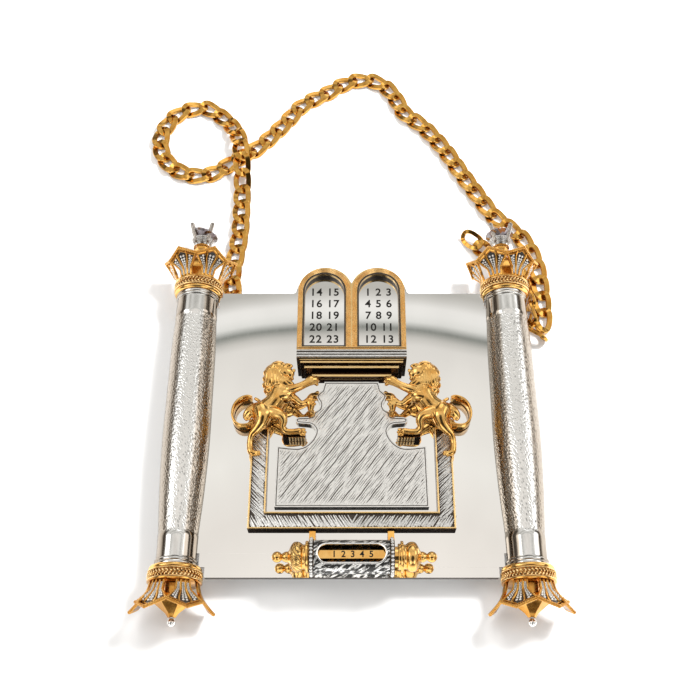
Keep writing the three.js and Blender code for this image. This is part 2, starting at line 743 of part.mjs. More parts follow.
// Drum with flat faces and a knob on each end of its spindle
const spinner = new THREE.Group();
spinner.position.y = drum.shift;
holder.add(spinner);
const drumHalf = scroll.half - drum.endGap;
const drumLeft = -drumHalf - drum.offset;
const drumRight = drumHalf - drum.offset;
const spindleHalf = scroll.half + drum.spindleReach;
const drumRadius = drum.apothem / Math.cos(Math.PI / drum.sides);
const drumSolid = turned([
  [0, -spindleHalf],
  [drum.spindle, -spindleHalf],
  [drum.spindle, drumLeft],
  [drumRadius, drumLeft],
  [drumRadius, drumRight],
  [drum.spindle, drumRight],
  [drum.spindle, spindleHalf],
  [0, spindleHalf],
], drum.sides);
piece('indicator_drum', drumSolid, gold, spinner).rotation.y = Math.PI / drum.sides;

function knobSolid(start) {
  const outside = [];
  let at = start;
  const add = (radius, length) => {
    outside.push([radius, at]);
    at += length;
    outside.push([radius, at]);
  };
  add(knob.journal, scroll.half + knob.standOff - start);
  add(knob.shoulder, knob.shoulderLength);
  add(knob.flange, knob.flangeLength);
  add(knob.collar, knob.collarLength);
  const bulbSteps = knob.ballSteps;
  for (let k = 1; k <= bulbSteps; k++) {
    const angle = (Math.PI * k) / bulbSteps;
    const waist = THREE.MathUtils.lerp(knob.collar, knob.neck, k / bulbSteps);
    const swell = (knob.bulb - (knob.collar + knob.neck) / 2) * Math.sin(angle);
    outside.push([waist + swell, at + (knob.bulbLength * (1 - Math.cos(angle))) / 2]);
  }
  at += knob.bulbLength + knob.neckLength;
  outside.push([knob.neckEnd, at]);
  const centre = at + Math.sqrt(knob.ball ** 2 - knob.neckEnd ** 2);
  const opening = Math.asin(knob.neckEnd / knob.ball);
  for (let k = 1; k < knob.ballSteps; k++) {
    const angle = opening + ((Math.PI - opening) * k) / knob.ballSteps;
    outside.push([knob.ball * Math.sin(angle), centre - knob.ball * Math.cos(angle)]);
  }
  const socket = drum.spindle + seatGap;
  const socketEnd = spindleHalf + seatGap;
  return turned([
    [socket, start],
    ...outside,
    [0, centre + knob.ball],
    [0, socketEnd],
    [socket, socketEnd],
  ], smallSides);
}
for (const [side, turn, drumEnd] of [['left', Math.PI, -drumLeft], ['right', 0, drumRight]]) {
  piece(`${side}_tube_end`, tubeEndSolid(), silver, holder).rotation.z = turn;
  piece(`${side}_knob`, knobSolid(drumEnd + seatGap), gold, spinner).rotation.z = turn;
}

// Straps from the frame's lower edge up to the tube ends
function strapSolid(x) {
  const startY = frameLowY - seatGap;
  const endY = scrollY;
  const low = front;
  const rise = scroll.axisHeight * strap.riseShare;
  const side = new THREE.Shape();
  side.moveTo(startY, low);
  side.lineTo(startY, low + strap.thickness);
  side.lineTo(endY, low + rise + strap.thickness);
  side.lineTo(endY, low + rise);
  const bar = new THREE.ExtrudeGeometry(side, { depth: strap.width, bevelEnabled: false });
  bar.rotateX(Math.PI / 2).rotateZ(Math.PI / 2).translate(x - strap.width / 2, 0, 0);
  return solid(bar);
}
const ringRadius = endRadius + seatGap;
const strapX = scroll.half + seatGap + tubeEnd.rim / 2;
const ringCut = new THREE.CylinderGeometry(ringRadius, ringRadius, 2 * columnSpacing / 2, roundSides);
ringCut.rotateZ(Math.PI / 2).translate(0, scrollY, plateFront + scroll.axisHeight);
for (const [side, sign] of [['left', -1], ['right', 1]]) {
  piece(`${side}_hanger_strap`, strapSolid(sign * strapX).subtract(solid(ringCut)), gold);
}

// Origin at the middle of the shield's underside; the loose chain is left out
const bounds = new THREE.Box3().setFromObject(shield, true);
const middle = bounds.getCenter(new THREE.Vector3());
shield.position.set(-middle.x, -middle.y, -bounds.min.z);

// Jump ring through the left eye, in the plane across the plate
const holeZ = -front - eyeHoleZ;
const ringRise = Math.asin(jumpRing.hang / jumpRing.radius);
const jumpGeometry = new THREE.TorusGeometry(jumpRing.radius, jumpRing.wire, jumpRing.wireSides, jumpRing.sides);
const jump = piece('jump_ring', solid(jumpGeometry), gold);
jump.rotation.y = Math.PI / 2;
jump.position.set(-eyeX, eyeY + jumpRing.hang, holeZ - jumpRing.radius * Math.cos(ringRise));

// Curb link: each side of its outline is lifted or lowered, so that its two
// end bars slope opposite ways and seat across those of its neighbours
const linkReach = (link.pitch + link.wire - link.bite) / 2;
const freeReach = link.pitch + link.wire + seatGap - linkReach;

function linkGeometry(backReach, aheadReach, halfWidth, wire) {
  const corner = 1 / Math.cos(Math.PI / link.steps);
  const points = [];
  for (let k = 0; k < link.steps; k++) {
    const angle = (2 * Math.PI * (k + 1 / 2)) / link.steps;
    const reach = Math.cos(angle) > 0 ? aheadReach : backReach;
    const lift = link.twist * Math.sign(Math.sin(2 * angle));
    points.push(new THREE.Vector3(
      reach * Math.cos(angle) * corner,
      halfWidth * Math.sin(angle) * corner,
      lift,
    ));
  }
  const [out, high] = [wire / 2, link.thickness / 2];
  return wireLoop(points, [[out, -high], [out, high], [-out, high], [-out, -high]]);
}

const tableZ = -rope.radius;
const rest = tableZ + link.twist + link.thickness / 2 + seatGap;
const stops = chain.route.map(([x, y, lift]) => new THREE.Vector3(x - eyeX, y + eyeY, rest + lift));
const course = new THREE.CatmullRomCurve3(stops, false, 'centripetal');
course.arcLengthDivisions = chain.samples;
const linkCount = Math.floor(course.getLength() / link.pitch) + 1;

function rollAt(distance) {
  const number = distance / link.pitch;
  const after = chain.rolls.findIndex(([at]) => at > number);
  if (after < 1) return 0;
  const [[start, from], [end, to]] = [chain.rolls[after - 1], chain.rolls[after]];
  return THREE.MathUtils.degToRad(THREE.MathUtils.mapLinear(number, start, end, from, to));
}

function placedOnCourse(geometry, distance) {
  const share = distance / course.getLength();
  const along = course.getTangentAt(Math.min(share, 1));
  const across = new THREE.Vector3(0, 0, 1).cross(along).normalize().applyAxisAngle(along, rollAt(distance));
  const up = along.clone().cross(across);
  const place = new THREE.Matrix4().makeBasis(along, across, up);
  const centre = course.getPointAt(Math.min(share, 1));
  centre.addScaledVector(along, Math.max(distance - course.getLength(), 0));
  place.setPosition(centre);
  return solid(geometry.applyMatrix4(place));
}

const stretchEnds = [...chain.splits, linkCount];
stretchEnds.forEach((end, n) => {
  const start = n === 0 ? 0 : stretchEnds[n - 1];
  const links = [];
  for (let i = start; i < end; i++) {
    const backReach = i === start ? freeReach : linkReach;
    links.push(placedOnCourse(linkGeometry(backReach, linkReach, link.halfWidth, link.wire), i * link.pitch));
  }
  piece(`chain_stretch_${n + 1}`, joined(links), gold);
});
const seated = (link.wire + endLink.wire) / 2 + seatGap;
const endDistance = (linkCount - 1) * link.pitch + linkReach + endLink.halfLength - seated;
const { halfLength, halfWidth, wire } = endLink;
const lastLink = linkGeometry(halfLength, halfLength, halfWidth, wire);
piece('chain_end_link', placedOnCourse(lastLink, endDistance), gold);

const model = new THREE.Group();
model.add(shield);
export default model;
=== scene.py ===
"""Torah shield with its chain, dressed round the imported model. Sizes in the code are millimetres."""
import math
import random

import bmesh
import bpy
from bpy.props import FloatProperty, FloatVectorProperty, IntProperty, PointerProperty
from mathutils import Matrix, Vector
from mathutils.geometry import tessellate_polygon


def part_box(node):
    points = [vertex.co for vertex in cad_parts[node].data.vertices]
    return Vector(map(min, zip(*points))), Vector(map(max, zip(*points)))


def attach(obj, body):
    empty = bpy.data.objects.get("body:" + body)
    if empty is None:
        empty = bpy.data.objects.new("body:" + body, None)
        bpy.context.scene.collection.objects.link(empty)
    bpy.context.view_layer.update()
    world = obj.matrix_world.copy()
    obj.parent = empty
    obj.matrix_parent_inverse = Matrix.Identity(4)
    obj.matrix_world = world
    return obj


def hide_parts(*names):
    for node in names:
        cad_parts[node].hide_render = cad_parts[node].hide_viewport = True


bl_info = {
    "name": "Torah Shield",
    "version": (1, 0, 0),
    "blender": (4, 5, 0),
    "location": "View3D > Sidebar > Torah Shield",
    "description": "Dresses a torah shield with its columns, tablets, lions, scroll holder and chain",
    "category": "Object",
}

MM = 0.001
SIDES = ("left", "right")
SIGN = {"left": -1, "right": 1}
ENDS = ("upper", "lower")

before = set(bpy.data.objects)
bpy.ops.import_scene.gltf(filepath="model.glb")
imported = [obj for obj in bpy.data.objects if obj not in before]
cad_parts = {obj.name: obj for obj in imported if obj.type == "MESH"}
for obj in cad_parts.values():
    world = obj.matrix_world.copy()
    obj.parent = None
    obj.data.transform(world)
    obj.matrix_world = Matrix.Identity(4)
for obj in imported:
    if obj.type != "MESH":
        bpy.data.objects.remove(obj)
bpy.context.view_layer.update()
PLATE_LOW, PLATE_HIGH = (Vector(corner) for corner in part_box("shield_plate"))

# The shield's own axes start on the columns' axis plane, at the middle of the plate
PLATE_BOTTOM_Y = -111.6
ORIGIN = Vector((0, PLATE_LOW.y - PLATE_BOTTOM_Y * MM, (PLATE_LOW.z + PLATE_HIGH.z) / 2))
TABLE_Z = -ORIGIN.z / MM

PLATE_FRONT = 0.75
SEAT = 0.3
FRONT = PLATE_FRONT + SEAT
COLUMN_X = 112.0
COLUMN_FOOT_Y = -101.0
COLUMN_LENGTH = 190.5


def length_setting(name, about, default):
    """A length that the panel shows."""
    return FloatProperty(name=name, description=about, default=default, unit="LENGTH")


def tone_setting(name, about, default):
    """A colour that the panel shows."""
    return FloatVectorProperty(name=name, description=about, subtype="COLOR", size=3, default=default)


def share_setting(name, about, default):
    """A share that the panel shows."""
    return FloatProperty(name=name, description=about, subtype="FACTOR", default=default)


class ShieldSizes(bpy.types.PropertyGroup):
    """Sizes of the details that only the dressed model shows"""

    shaft_radius: length_setting("Shaft radius", "Largest radius of a column", 0.0163)
    bead_radius: length_setting("Bead radius", "Beads round the scroll holder's ends", 0.00098)
    rope_strands: IntProperty(name="Rope strands", description="Strands in a row of a rope ring", default=44)
    link_pitch: length_setting("Link pitch", "Distance between neighbouring links", 0.01415)
    link_wire: length_setting("Link wire", "Width of the wire in a link", 0.0042)
    hatch_pitch: length_setting("Hatch pitch", "Distance between cuts in the frame's silver", 0.00118)
    numeral_height: length_setting("Numeral height", "Height of the tablets' numerals", 0.0062)


class ShieldColours(bpy.types.PropertyGroup):
    """Colours and roughness of the metals and the stones"""

    silver: tone_setting("Silver", "Polished silver plate", (0.95, 0.935, 0.905))
    gold: tone_setting("Gold", "Polished gold plate", (0.94, 0.585, 0.2))
    # Dark inlay ground of the crowns: partly enamelled, partly painted shadow
    enamel: tone_setting("Enamel", "Dark ground of the crowns' inlays", (0.012, 0.011, 0.01))
    stone: tone_setting("Stone", "Clear stones over the columns", (0.62, 0.56, 0.6))
    floor: tone_setting("Floor", "Plain pale floor", (0.93, 0.93, 0.93))
    mirror_roughness: share_setting("Mirror roughness", "Roughness of the polished plate", 0.025)
    gold_roughness: share_setting("Gold roughness", "Roughness of the polished gold", 0.13)


def sizes():
    return bpy.context.scene.shield_sizes


def colours():
    return bpy.context.scene.shield_colours


def lerp(a, b, t):
    return a + (b - a) * t


def smooth_line(points, steps, closed=False):
    """Points along a smooth curve through tuples of any length."""
    count = len(points)
    spans = count if closed else count - 1
    axes = range(len(points[0]))
    line = []
    for i in range(spans):
        near = [points[(i + k) % count if closed else min(max(i + k, 0), count - 1)] for k in (-1, 0, 1, 2)]
        for step in range(steps):
            t = step / steps
            weights = (
                (-t + 2 * t * t - t ** 3) / 2,
                (2 - 5 * t * t + 3 * t ** 3) / 2,
                (t + 4 * t * t - 3 * t ** 3) / 2,
                (t ** 3 - t * t) / 2,
            )
            line.append(tuple(sum(w * p[axis] for w, p in zip(weights, near)) for axis in axes))
    if not closed:
        line.append(tuple(points[-1]))
    return line


def turns(count, phase=0.0):
    """Even angles round a circle; the phase is a share of one step."""
    return [2 * math.pi * (k + phase) / count for k in range(count)]


def ellipse_section(out, up, sides=10):
    return [(out * math.cos(turn), up * math.sin(turn)) for turn in turns(sides)]


def on_circle(radius, height, turn):
    """Point round the Y axis."""
    return (radius * math.cos(turn), height, radius * math.sin(turn))


def arc(x, y, radius, start, end, steps):
    angles = [math.radians(lerp(start, end, k / steps)) for k in range(steps + 1)]
    return [(x + radius * math.cos(angle), y + radius * math.sin(angle)) for angle in angles]


def slab_faces(rows, columns):
    """Faces of a sheet between two grids of points: its front with the rims, and its back."""
    wide = columns + 1
    back = (rows + 1) * wide
    faces, inner = [], []
    for i in range(rows):
        for a in range(i * wide, i * wide + columns):
            faces.append([a, a + 1, a + wide + 1, a + wide])
            inner.append([back + a, back + a + wide, back + a + wide + 1, back + a + 1])
        for a in (i * wide, i * wide + columns):
            faces.append([a, a + wide, back + a + wide, back + a])
    for k in range(columns):
        for a in (k, rows * wide + k):
            faces.append([a, a + 1, back + a + 1, back + a])
    return faces, inner


def added(name, data):
    """Puts an object with this data in the scene."""
    thing = bpy.data.objects.new(name, data)
    bpy.context.scene.collection.objects.link(thing)
    return thing


class Form:
    """Gathers the vertices and faces of one piece, in millimetres from the shield's own axes."""

    def __init__(self, place=None):
        self.points, self.faces, self.finishes = [], [], []
        self.place = place or Matrix()
        self.finish = 0

    def add(self, points, faces, place=None):
        start = len(self.points)
        spot = self.place @ place if place else self.place
        self.points += [spot @ Vector(point) for point in points]
        self.faces += [[start + i for i in face] for face in faces]
        self.finishes += [self.finish] * len(faces)

    def turned(self, profile, sides=72, ring=False, place=None, start=0.0):
        """Turns a profile of (radius, height) round the Y axis; a ring's profile closes on itself."""
        points, rows = [], []
        for radius, height in profile:
            if radius < 1e-6:
                rows.append([len(points)] * sides)
                points.append((0, height, 0))
                continue
            rows.append(list(range(len(points), len(points) + sides)))
            for k in range(sides):
                turn = start + 2 * math.pi * k / sides
                points.append((radius * math.sin(turn), height, radius * math.cos(turn)))
        faces = []
        spans = len(rows) if ring else len(rows) - 1
        for i in range(spans):
            low, high = rows[i], rows[(i + 1) % len(rows)]
            for k in range(sides):
                face = []
                for corner in (low[k], low[(k + 1) % sides], high[(k + 1) % sides], high[k]):
                    if corner not in face:
                        face.append(corner)
                if len(face) > 2:
                    faces.append(face)
        self.add(points, faces, place)

    def swept(self, path, section, closed=False, up=None, scales=None, place=None):
        """Sweeps a section of (across, up) corners along a path; up stays fixed, or rolls with the path."""
        line = [Vector(point) for point in path]
        count, sides = len(line), len(section)
        points, faces = [], []
        rolling = Vector(up) if up else None
        for i, point in enumerate(line):
            before = line[(i - 1) % count] if closed or i else line[i]
            after = line[(i + 1) % count] if closed or i < count - 1 else line[i]
            along = (after - before).normalized()
            if rolling is None:
                rolling = along.orthogonal().normalized()
            across = along.cross(rolling).normalized()
            lift = across.cross(along)
            if up is None:
                rolling = lift
            scale = scales[i] if scales else 1
            points += [point + across * (a * scale) + lift * (b * scale) for a, b in section]
        edges = [(k, (k + 1) % sides) for k in range(sides)]
        for i in range(count if closed else count - 1):
            low, high = i * sides, ((i + 1) % count) * sides
            faces += [[low + a, low + b, high + b, high + a] for a, b in edges]
        if not closed:
            faces += [list(range(sides)), list(range((count - 1) * sides, count * sides))]
        self.add(points, faces, place)

    def limb(self, stations, sides, steps):
        """Rounded, tapered limb through stations of (x, y, z, radius)."""
        line = smooth_line(stations, steps)
        self.swept([p[:3] for p in line], ellipse_section(1, 1, sides), scales=[p[3] for p in line])
        for end in (line[0], line[-1]):
            self.ball(end[:3], end[3])

    def ball(self, centre, radius, sides=12, rings=8, stretch=(1, 1, 1), turn=None, place=None):
        profile = [(math.sin(math.pi * k / rings), -math.cos(math.pi * k / rings)) for k in range(rings + 1)]
        spot = Matrix.Translation(Vector(centre)) @ (turn or Matrix())
        spot = spot @ Matrix.Diagonal((*shade(stretch, radius), 1))
        self.turned(profile, sides, place=place @ spot if place else spot)

    def prism(self, outlines, low, high):
        """Straight-sided body between two heights; the first outline is the edge, the rest are holes."""
        flat = [point for outline in outlines for point in outline]
        count = len(flat)
        triangles = tessellate_polygon([[Vector((x, y, 0)) for x, y in outline] for outline in outlines])
        faces = [list(face) for face in triangles] + [[count + i for i in face] for face in triangles]
        start = 0
        for outline in outlines:
            size = len(outline)
            for k in range(size):
                a, b = start + k, start + (k + 1) % size
                faces.append([a, b, count + b, count + a])
            start += size
        self.add([(x, y, low) for x, y in flat] + [(x, y, high) for x, y in flat], faces)

    def block(self, low, high):
        corners = [(low[0], low[1]), (high[0], low[1]), (high[0], high[1]), (low[0], high[1])]
        self.prism([corners], low[2], high[2])

    def mesh(self, name):
        mesh = bpy.data.meshes.new(name)
        mesh.from_pydata([ORIGIN + point * MM for point in self.points], [], self.faces)
        mesh.polygons.foreach_set("material_index", self.finishes)
        rough = bmesh.new()
        rough.from_mesh(mesh)
        bmesh.ops.remove_doubles(rough, verts=rough.verts, dist=1e-7)
        bmesh.ops.recalc_face_normals(rough, faces=rough.faces)
        rough.to_mesh(mesh)
        rough.free()
        return mesh

    def piece(self, name, finishes, slot, nodes=(), **looks):
        """Makes the piece, with its finishes and the nodes that it stands for; the record slot is not used.
        """
        return dressed(added(name, self.mesh(name)), finishes, slot, nodes, **looks)


def dressed(thing, finishes, slot, nodes=(), edge=0.0, crease=35, body="shield"):
    """Gives a piece its finishes, softened edges, body and the nodes that it stands for; the record slot is
    not used.
    """
    mesh = thing.data
    for name in finishes.split():
        mesh.materials.append(finish(name))
    mesh.polygons.foreach_set("use_smooth", [True] * len(mesh.polygons))
    mesh.set_sharp_from_angle(angle=math.radians(crease))
    if edge:
        bevel = thing.modifiers.new("Softened edges", "BEVEL")
        bevel.width = edge * MM
        bevel.segments = 2
        bevel.limit_method = "ANGLE"
        bevel.angle_limit = math.radians(crease)
        bevel.harden_normals = True
    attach(thing, body)
    if nodes:
        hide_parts(*nodes)
    return thing


def lettering(name, text, size, depth, swell, spacing, place, slot, body):
    """Centred plain text, standing a little proud of its place."""
    curve = bpy.data.curves.new(name, "FONT")
    curve.body = text
    curve.align_x, curve.align_y = "CENTER", "CENTER"
    curve.size = size
    curve.extrude = depth
    curve.offset = swell
    curve.space_character = spacing
    words = added(name, curve)
    graph = bpy.context.evaluated_depsgraph_get()
    mesh = bpy.data.meshes.new_from_object(words.evaluated_get(graph))
    bpy.data.objects.remove(words)
    mesh.transform(place)
    mesh.materials.clear()
    dressed(added(name, mesh), "ink", slot, body=body)


def carve(thing, cutter):
    """Cuts the cutter's form out of a piece."""
    tool = added("cutter", cutter.mesh("cutter"))
    cut = thing.modifiers.new("Cut", "BOOLEAN")
    cut.operation = "DIFFERENCE"
    cut.solver = "EXACT"
    cut.object = tool
    settle(thing)
    bpy.data.objects.remove(tool)


def settle(thing):
    """Applies the modifiers of a piece to its mesh."""
    graph = bpy.context.evaluated_depsgraph_get()
    graph.update()
    baked = bpy.data.meshes.new_from_object(thing.evaluated_get(graph))
    thing.modifiers.clear()
    thing.data = baked


# Finishes


class Nodes:
    """A node tree that is built up step by step."""

    def __init__(self, tree):
        self.tree = tree

    def node(self, kind, values=(), **settings):
        """Adds a node; a value that is a socket is linked, any other is set."""
        node = self.tree.nodes.new(kind)
        for key, value in settings.items():
            setattr(node, key, value)
        for key, value in dict(values).items():
            if isinstance(value, bpy.types.NodeSocket):
                self.tree.links.new(value, node.inputs[key])
            else:
                node.inputs[key].default_value = value
        return node

    def noise(self, vector, detail=3.0, roughness=0.5, scale=1.0):
        values = {"Vector": vector, "Scale": scale, "Detail": detail, "Roughness": roughness}
        return self.node("ShaderNodeTexNoise", values).outputs["Fac"]

    def ramp(self, value, low, high, start=0.0, end=1.0):
        values = {"Value": value, "From Min": low, "From Max": high, "To Min": start, "To Max": end}
        return self.node("ShaderNodeMapRange", values).outputs["Result"]

    def math(self, operation, a, b):
        return self.node("ShaderNodeMath", {0: a, 1: b}, operation=operation).outputs[0]

    def blend(self, factor, a, b, **settings):
        """Mixes two colours, each a tuple or a socket."""
        a, b = (tone if isinstance(tone, bpy.types.NodeSocket) else (*tone, 1) for tone in (a, b))
        return self.node("ShaderNodeMix", {0: factor, 6: a, 7: b}, data_type="RGBA", **settings).outputs[2]


class Finish(Nodes):
    """A procedural material round one shader."""

    def __init__(self, name, colour=(1, 1, 1), roughness=0.5, metallic=1):
        self.material = bpy.data.materials.new(name)
        self.material.use_nodes = True
        super().__init__(self.material.node_tree)
        self.shader = self.tree.nodes["Principled BSDF"]
        places = self.node("ShaderNodeTexCoord").outputs
        self.place, self.normal = places["Object"], places["Normal"]
        self.set("Metallic", metallic)
        self.set("Base Color", (*colour, 1))
        self.set("Roughness", roughness)

    def set(self, name, value):
        self.shader.inputs[name].default_value = value

    def feed(self, name, socket):
        self.tree.links.new(socket, self.shader.inputs[name])

    def mapped(self, scale):
        """The piece's own coordinates, scaled alike or by axis."""
        scale = scale if isinstance(scale, tuple) else (scale, scale, scale)
        return self.node("ShaderNodeMapping", {"Scale": scale, "Vector": self.place}).outputs["Vector"]

    def cells(self, vector, scale, randomness):
        values = {"Vector": vector, "Scale": scale, "Randomness": randomness}
        return self.node("ShaderNodeTexVoronoi", values, feature="F1").outputs

    def bump(self, height, depth, strength=1.0):
        """Relief of a depth in millimetres."""
        bump = self.node("ShaderNodeBump", {"Strength": strength, "Distance": depth * MM, "Height": height})
        self.feed("Normal", bump.outputs["Normal"])

    def recessed(self, open_colour, deep_colour, reach, low, high):
        """Paints shade into narrow recesses, as far as the reach in millimetres: painted shade from ambient
        occlusion.
        """
        recess = self.node("ShaderNodeAmbientOcclusion", {"Distance": reach * MM}, samples=6)
        openness = self.ramp(recess.outputs["AO"], low, high)
        self.feed("Base Color", self.blend(openness, deep_colour, open_colour))


def shade(colour, factor):
    return tuple(channel * factor for channel in colour)


def silver_tone(factor=1.0):
    return shade(colours().silver, factor)


def worn_metal(name, colour, roughness, scale, detail=3, tones=(), span=(0.3, 0.7), shine=(), relief=()):
    """Metal with one grain that varies its tone, its roughness and its relief."""
    finish = Finish(name, colour, roughness)
    wear = finish.noise(finish.mapped(scale), detail)
    if tones:
        dull, fresh = (shade(colour, factor) for factor in tones)
        finish.feed("Base Color", finish.blend(finish.ramp(wear, *span), dull, fresh))
    if shine:
        finish.feed("Roughness", finish.ramp(wear, *shine))
    if relief:
        finish.bump(wear, *relief)
    return finish.material


def mirror_silver():
    """Mirror plate with faint polishing lines and a few dull clouds."""
    dull = colours().mirror_roughness
    finish = Finish("mirror_silver", silver_tone(), dull)
    clouds = finish.noise(finish.mapped((22, 14, 22)), 2)
    finish.feed("Base Color", finish.blend(finish.ramp(clouds, 0.35, 0.7), silver_tone(0.93), silver_tone()))
    lines = finish.noise(finish.mapped((900, 40, 100)), 4)
    finish.feed("Roughness", finish.ramp(lines, 0.3, 0.8, dull * 0.8, dull * 1.3))
    finish.bump(clouds, 0.006, 0.1)
    return finish.material


def plain_silver():
    """Turned silver of cups, bands and beads."""
    shine, relief = (0.25, 0.75, 0.1, 0.24), (0.03, 0.3)
    return worn_metal("plain_silver", silver_tone(), 0.14, 260, 4, (0.8, 1), shine=shine, relief=relief)


def painted_shade_silver():
    """Nearly black silver: painted shade in cuts, grooves and gaps, and painted shadow on the plate's edges.
    """
    return worn_metal("painted_shade_silver", (0.09, 0.075, 0.065), 0.35, 900, 2, shine=(0.3, 0.7, 0.28, 0.5))


def hatched_silver():
    """Bright-cut silver of the frame's infill; the cuts themselves are geometry."""
    return worn_metal("hatched_silver", silver_tone(), 0.4, 700, 3, (0.7, 1), (0.35, 0.6), relief=(0.05, 0.5))


def prong_silver():
    """Grey silver of the prongs."""
    return worn_metal("prong_silver", (0.42, 0.38, 0.34), 0.24, 500, shine=(0.3, 0.7, 0.14, 0.3))


def dark_gold():
    """Brown gold as painted shade on hidden walls and on the petals' inner side."""
    return worn_metal("dark_gold", (0.3, 0.14, 0.04), 0.25, 420, shine=(0.3, 0.7, 0.18, 0.36))


def shadow_gold():
    """Nearly black gold, painted shadow on the cornice's steps and the frame's walls."""
    return worn_metal("shadow_gold", (0.085, 0.04, 0.016), 0.2, (30, 420, 420), shine=(0.3, 0.7, 0.14, 0.3))


def antique_silver():
    """Greyer silver of the prong cups, with painted shade between its beads."""
    finish = Finish("antique_silver", silver_tone(), 0.22)
    wear = finish.noise(finish.mapped(500))
    open_silver = finish.blend(finish.ramp(wear, 0.3, 0.7), silver_tone(0.66), silver_tone(0.92))
    # Painted shade between the beads
    finish.recessed(open_silver, (0.12, 0.105, 0.09), 1.5, 0.2, 0.7)
    return finish.material


# Brown tones of the painted reflection on the columns' flanks
FLANK_REFLECTION_DARK, FLANK_REFLECTION_PALE = (0.28, 0.23, 0.18), (0.4, 0.345, 0.285)


def paint_flank_reflection(finish, front, wear):
    """Turns the colour brown where a column's surface turns away sideways: a painted reflection on the
    flanks.
    """
    side = finish.node("ShaderNodeSeparateXYZ", {0: finish.normal}).outputs["X"]
    share = finish.ramp(finish.math("ABSOLUTE", side, 0.0), 0.38, 0.52)
    finish.feed("Base Color", finish.blend(share, front, finish.blend(wear, FLANK_REFLECTION_DARK, FLANK_REFLECTION_PALE)))


def column_silver():
    """Smooth silver of the columns' ends and collars, with a brown painted reflection on the flanks."""
    finish = Finish("column_silver", silver_tone(), 0.12)
    wear = finish.ramp(finish.noise(finish.mapped((200, 60, 200))), 0.3, 0.7)
    paint_flank_reflection(finish, finish.blend(wear, silver_tone(0.72), silver_tone(0.95)), wear)
    return finish.material


def stippled_silver():
    """Column silver covered with small slanting punch marks, painted darker in the marks as painted shade,
    with a brown painted reflection on the flanks.
    """
    finish = Finish("stippled_silver", silver_tone(), 0.2)
    values = {"Scale": (0.00125, 0.0026, 0.0018), "Rotation": (0, 0, 0.6), "Vector": finish.place}
    lean = finish.node("ShaderNodeMapping", values, vector_type="TEXTURE")
    marks = finish.cells(lean.outputs["Vector"], 1.0, 0.9)["Distance"]
    grain = finish.noise(finish.mapped((1100, 700, 1100)))
    pits = finish.ramp(marks, 0.1, 0.6)
    height = finish.math("ADD", finish.math("MULTIPLY", pits, 0.9), finish.math("MULTIPLY", grain, 0.35))
    # The punch marks are painted darker: painted shade in the pits
    front = finish.blend(finish.ramp(pits, 0.0, 0.55), silver_tone(0.4), silver_tone(0.92))
    paint_flank_reflection(finish, front, finish.ramp(pits, 0.0, 0.6))
    finish.feed("Roughness", finish.ramp(grain, 0.3, 0.7, 0.14, 0.3))
    finish.bump(height, 0.2, 0.8)
    return finish.material


def grooved_silver(name, turn, scale, depth, darkness, edge):
    """Silver with long, slightly wavy cuts in one direction over a fine matt grain; the cuts are painted
    darker as painted shade.
    """
    finish = Finish(name, silver_tone(), 0.28)
    bend = finish.node("ShaderNodeTexNoise", {"Scale": 90.0, "Detail": 1.0, "Vector": finish.place})
    values = {0: bend.outputs["Color"], "Scale": 0.0022}
    shift = finish.node("ShaderNodeVectorMath", values, operation="SCALE")
    values = {0: finish.place, 1: shift.outputs[0]}
    wave = finish.node("ShaderNodeVectorMath", values, operation="ADD")
    values = {"Scale": [1 / s for s in scale], "Rotation": (0, 0, turn), "Vector": wave.outputs[0]}
    mapping = finish.node("ShaderNodeMapping", values, vector_type="TEXTURE")
    open_cut = finish.ramp(finish.noise(mapping.outputs["Vector"], 2.5, 0.55), *edge)
    grain = finish.noise(finish.mapped(1300))
    rosettes = finish.cells(finish.place, 330.0, 0.8)["Distance"]
    height = finish.math("ADD", open_cut, finish.math("MULTIPLY", grain, 0.45))
    height = finish.math("ADD", height, finish.math("MULTIPLY", rosettes, 0.35))
    # Darker colour in the cuts: painted shade
    finish.feed("Base Color", finish.blend(open_cut, silver_tone(darkness), silver_tone()))
    finish.feed("Roughness", finish.ramp(grain, 0.3, 0.7, 0.22, 0.42))
    finish.bump(height, depth, 0.8)
    return finish.material


def field_silver():
    return grooved_silver("field_silver", math.radians(-37), (1500, 240, 300), 0.1, 0.86, (0.36, 0.52))


def feathered_silver():
    return grooved_silver("feathered_silver", math.radians(-62), (800, 170, 300), 0.35, 0.06, (0.47, 0.58))


# Brown of the painted shade in the gold's recesses
GOLD_RECESS_SHADE = (0.1, 0.035, 0.008)


def gold_finish(name, roughness, worn, relief=0.06, reach=2.5, base=None, span=(0.12, 0.55)):
    """Gold plate, a little redder where it is worn and, with a reach, brown in its recesses as painted shade.
    """
    gold = base or tuple(colours().gold)
    finish = Finish(name, gold, roughness)
    tarnish = finish.noise(finish.mapped(170), 5, 0.6)
    worn_tone = tuple(channel * factor for channel, factor in zip(gold, worn))
    open_gold = finish.blend(finish.ramp(tarnish, 0.62, 0.38), gold, worn_tone)
    if reach:
        finish.recessed(open_gold, GOLD_RECESS_SHADE, reach, *span)
    else:
        finish.feed("Base Color", open_gold)
    finish.feed("Roughness", finish.ramp(tarnish, 0.3, 0.7, roughness * 0.75, roughness * 1.7))
    finish.bump(finish.noise(finish.mapped(420)), relief, 0.35)
    return finish.material


# Polished gold, with painted shade in its recesses
def polished_gold():
    return gold_finish("polished_gold", colours().gold_roughness, (0.9, 0.8, 0.66))


def lit_gold():
    """Paler gold of ribs and rims, a lit copy of the gold: painted light."""
    return gold_finish("lit_gold", 0.16, (0.96, 0.9, 0.78), 0.04, 0.0, (0.98, 0.7, 0.34))


def crown_gold():
    """Deeper gold of the crowns and their cores, with painted shade in their recesses."""
    return gold_finish("crown_gold", 0.15, (0.8, 0.66, 0.46), 0.08, 1.6, (0.8, 0.44, 0.115))


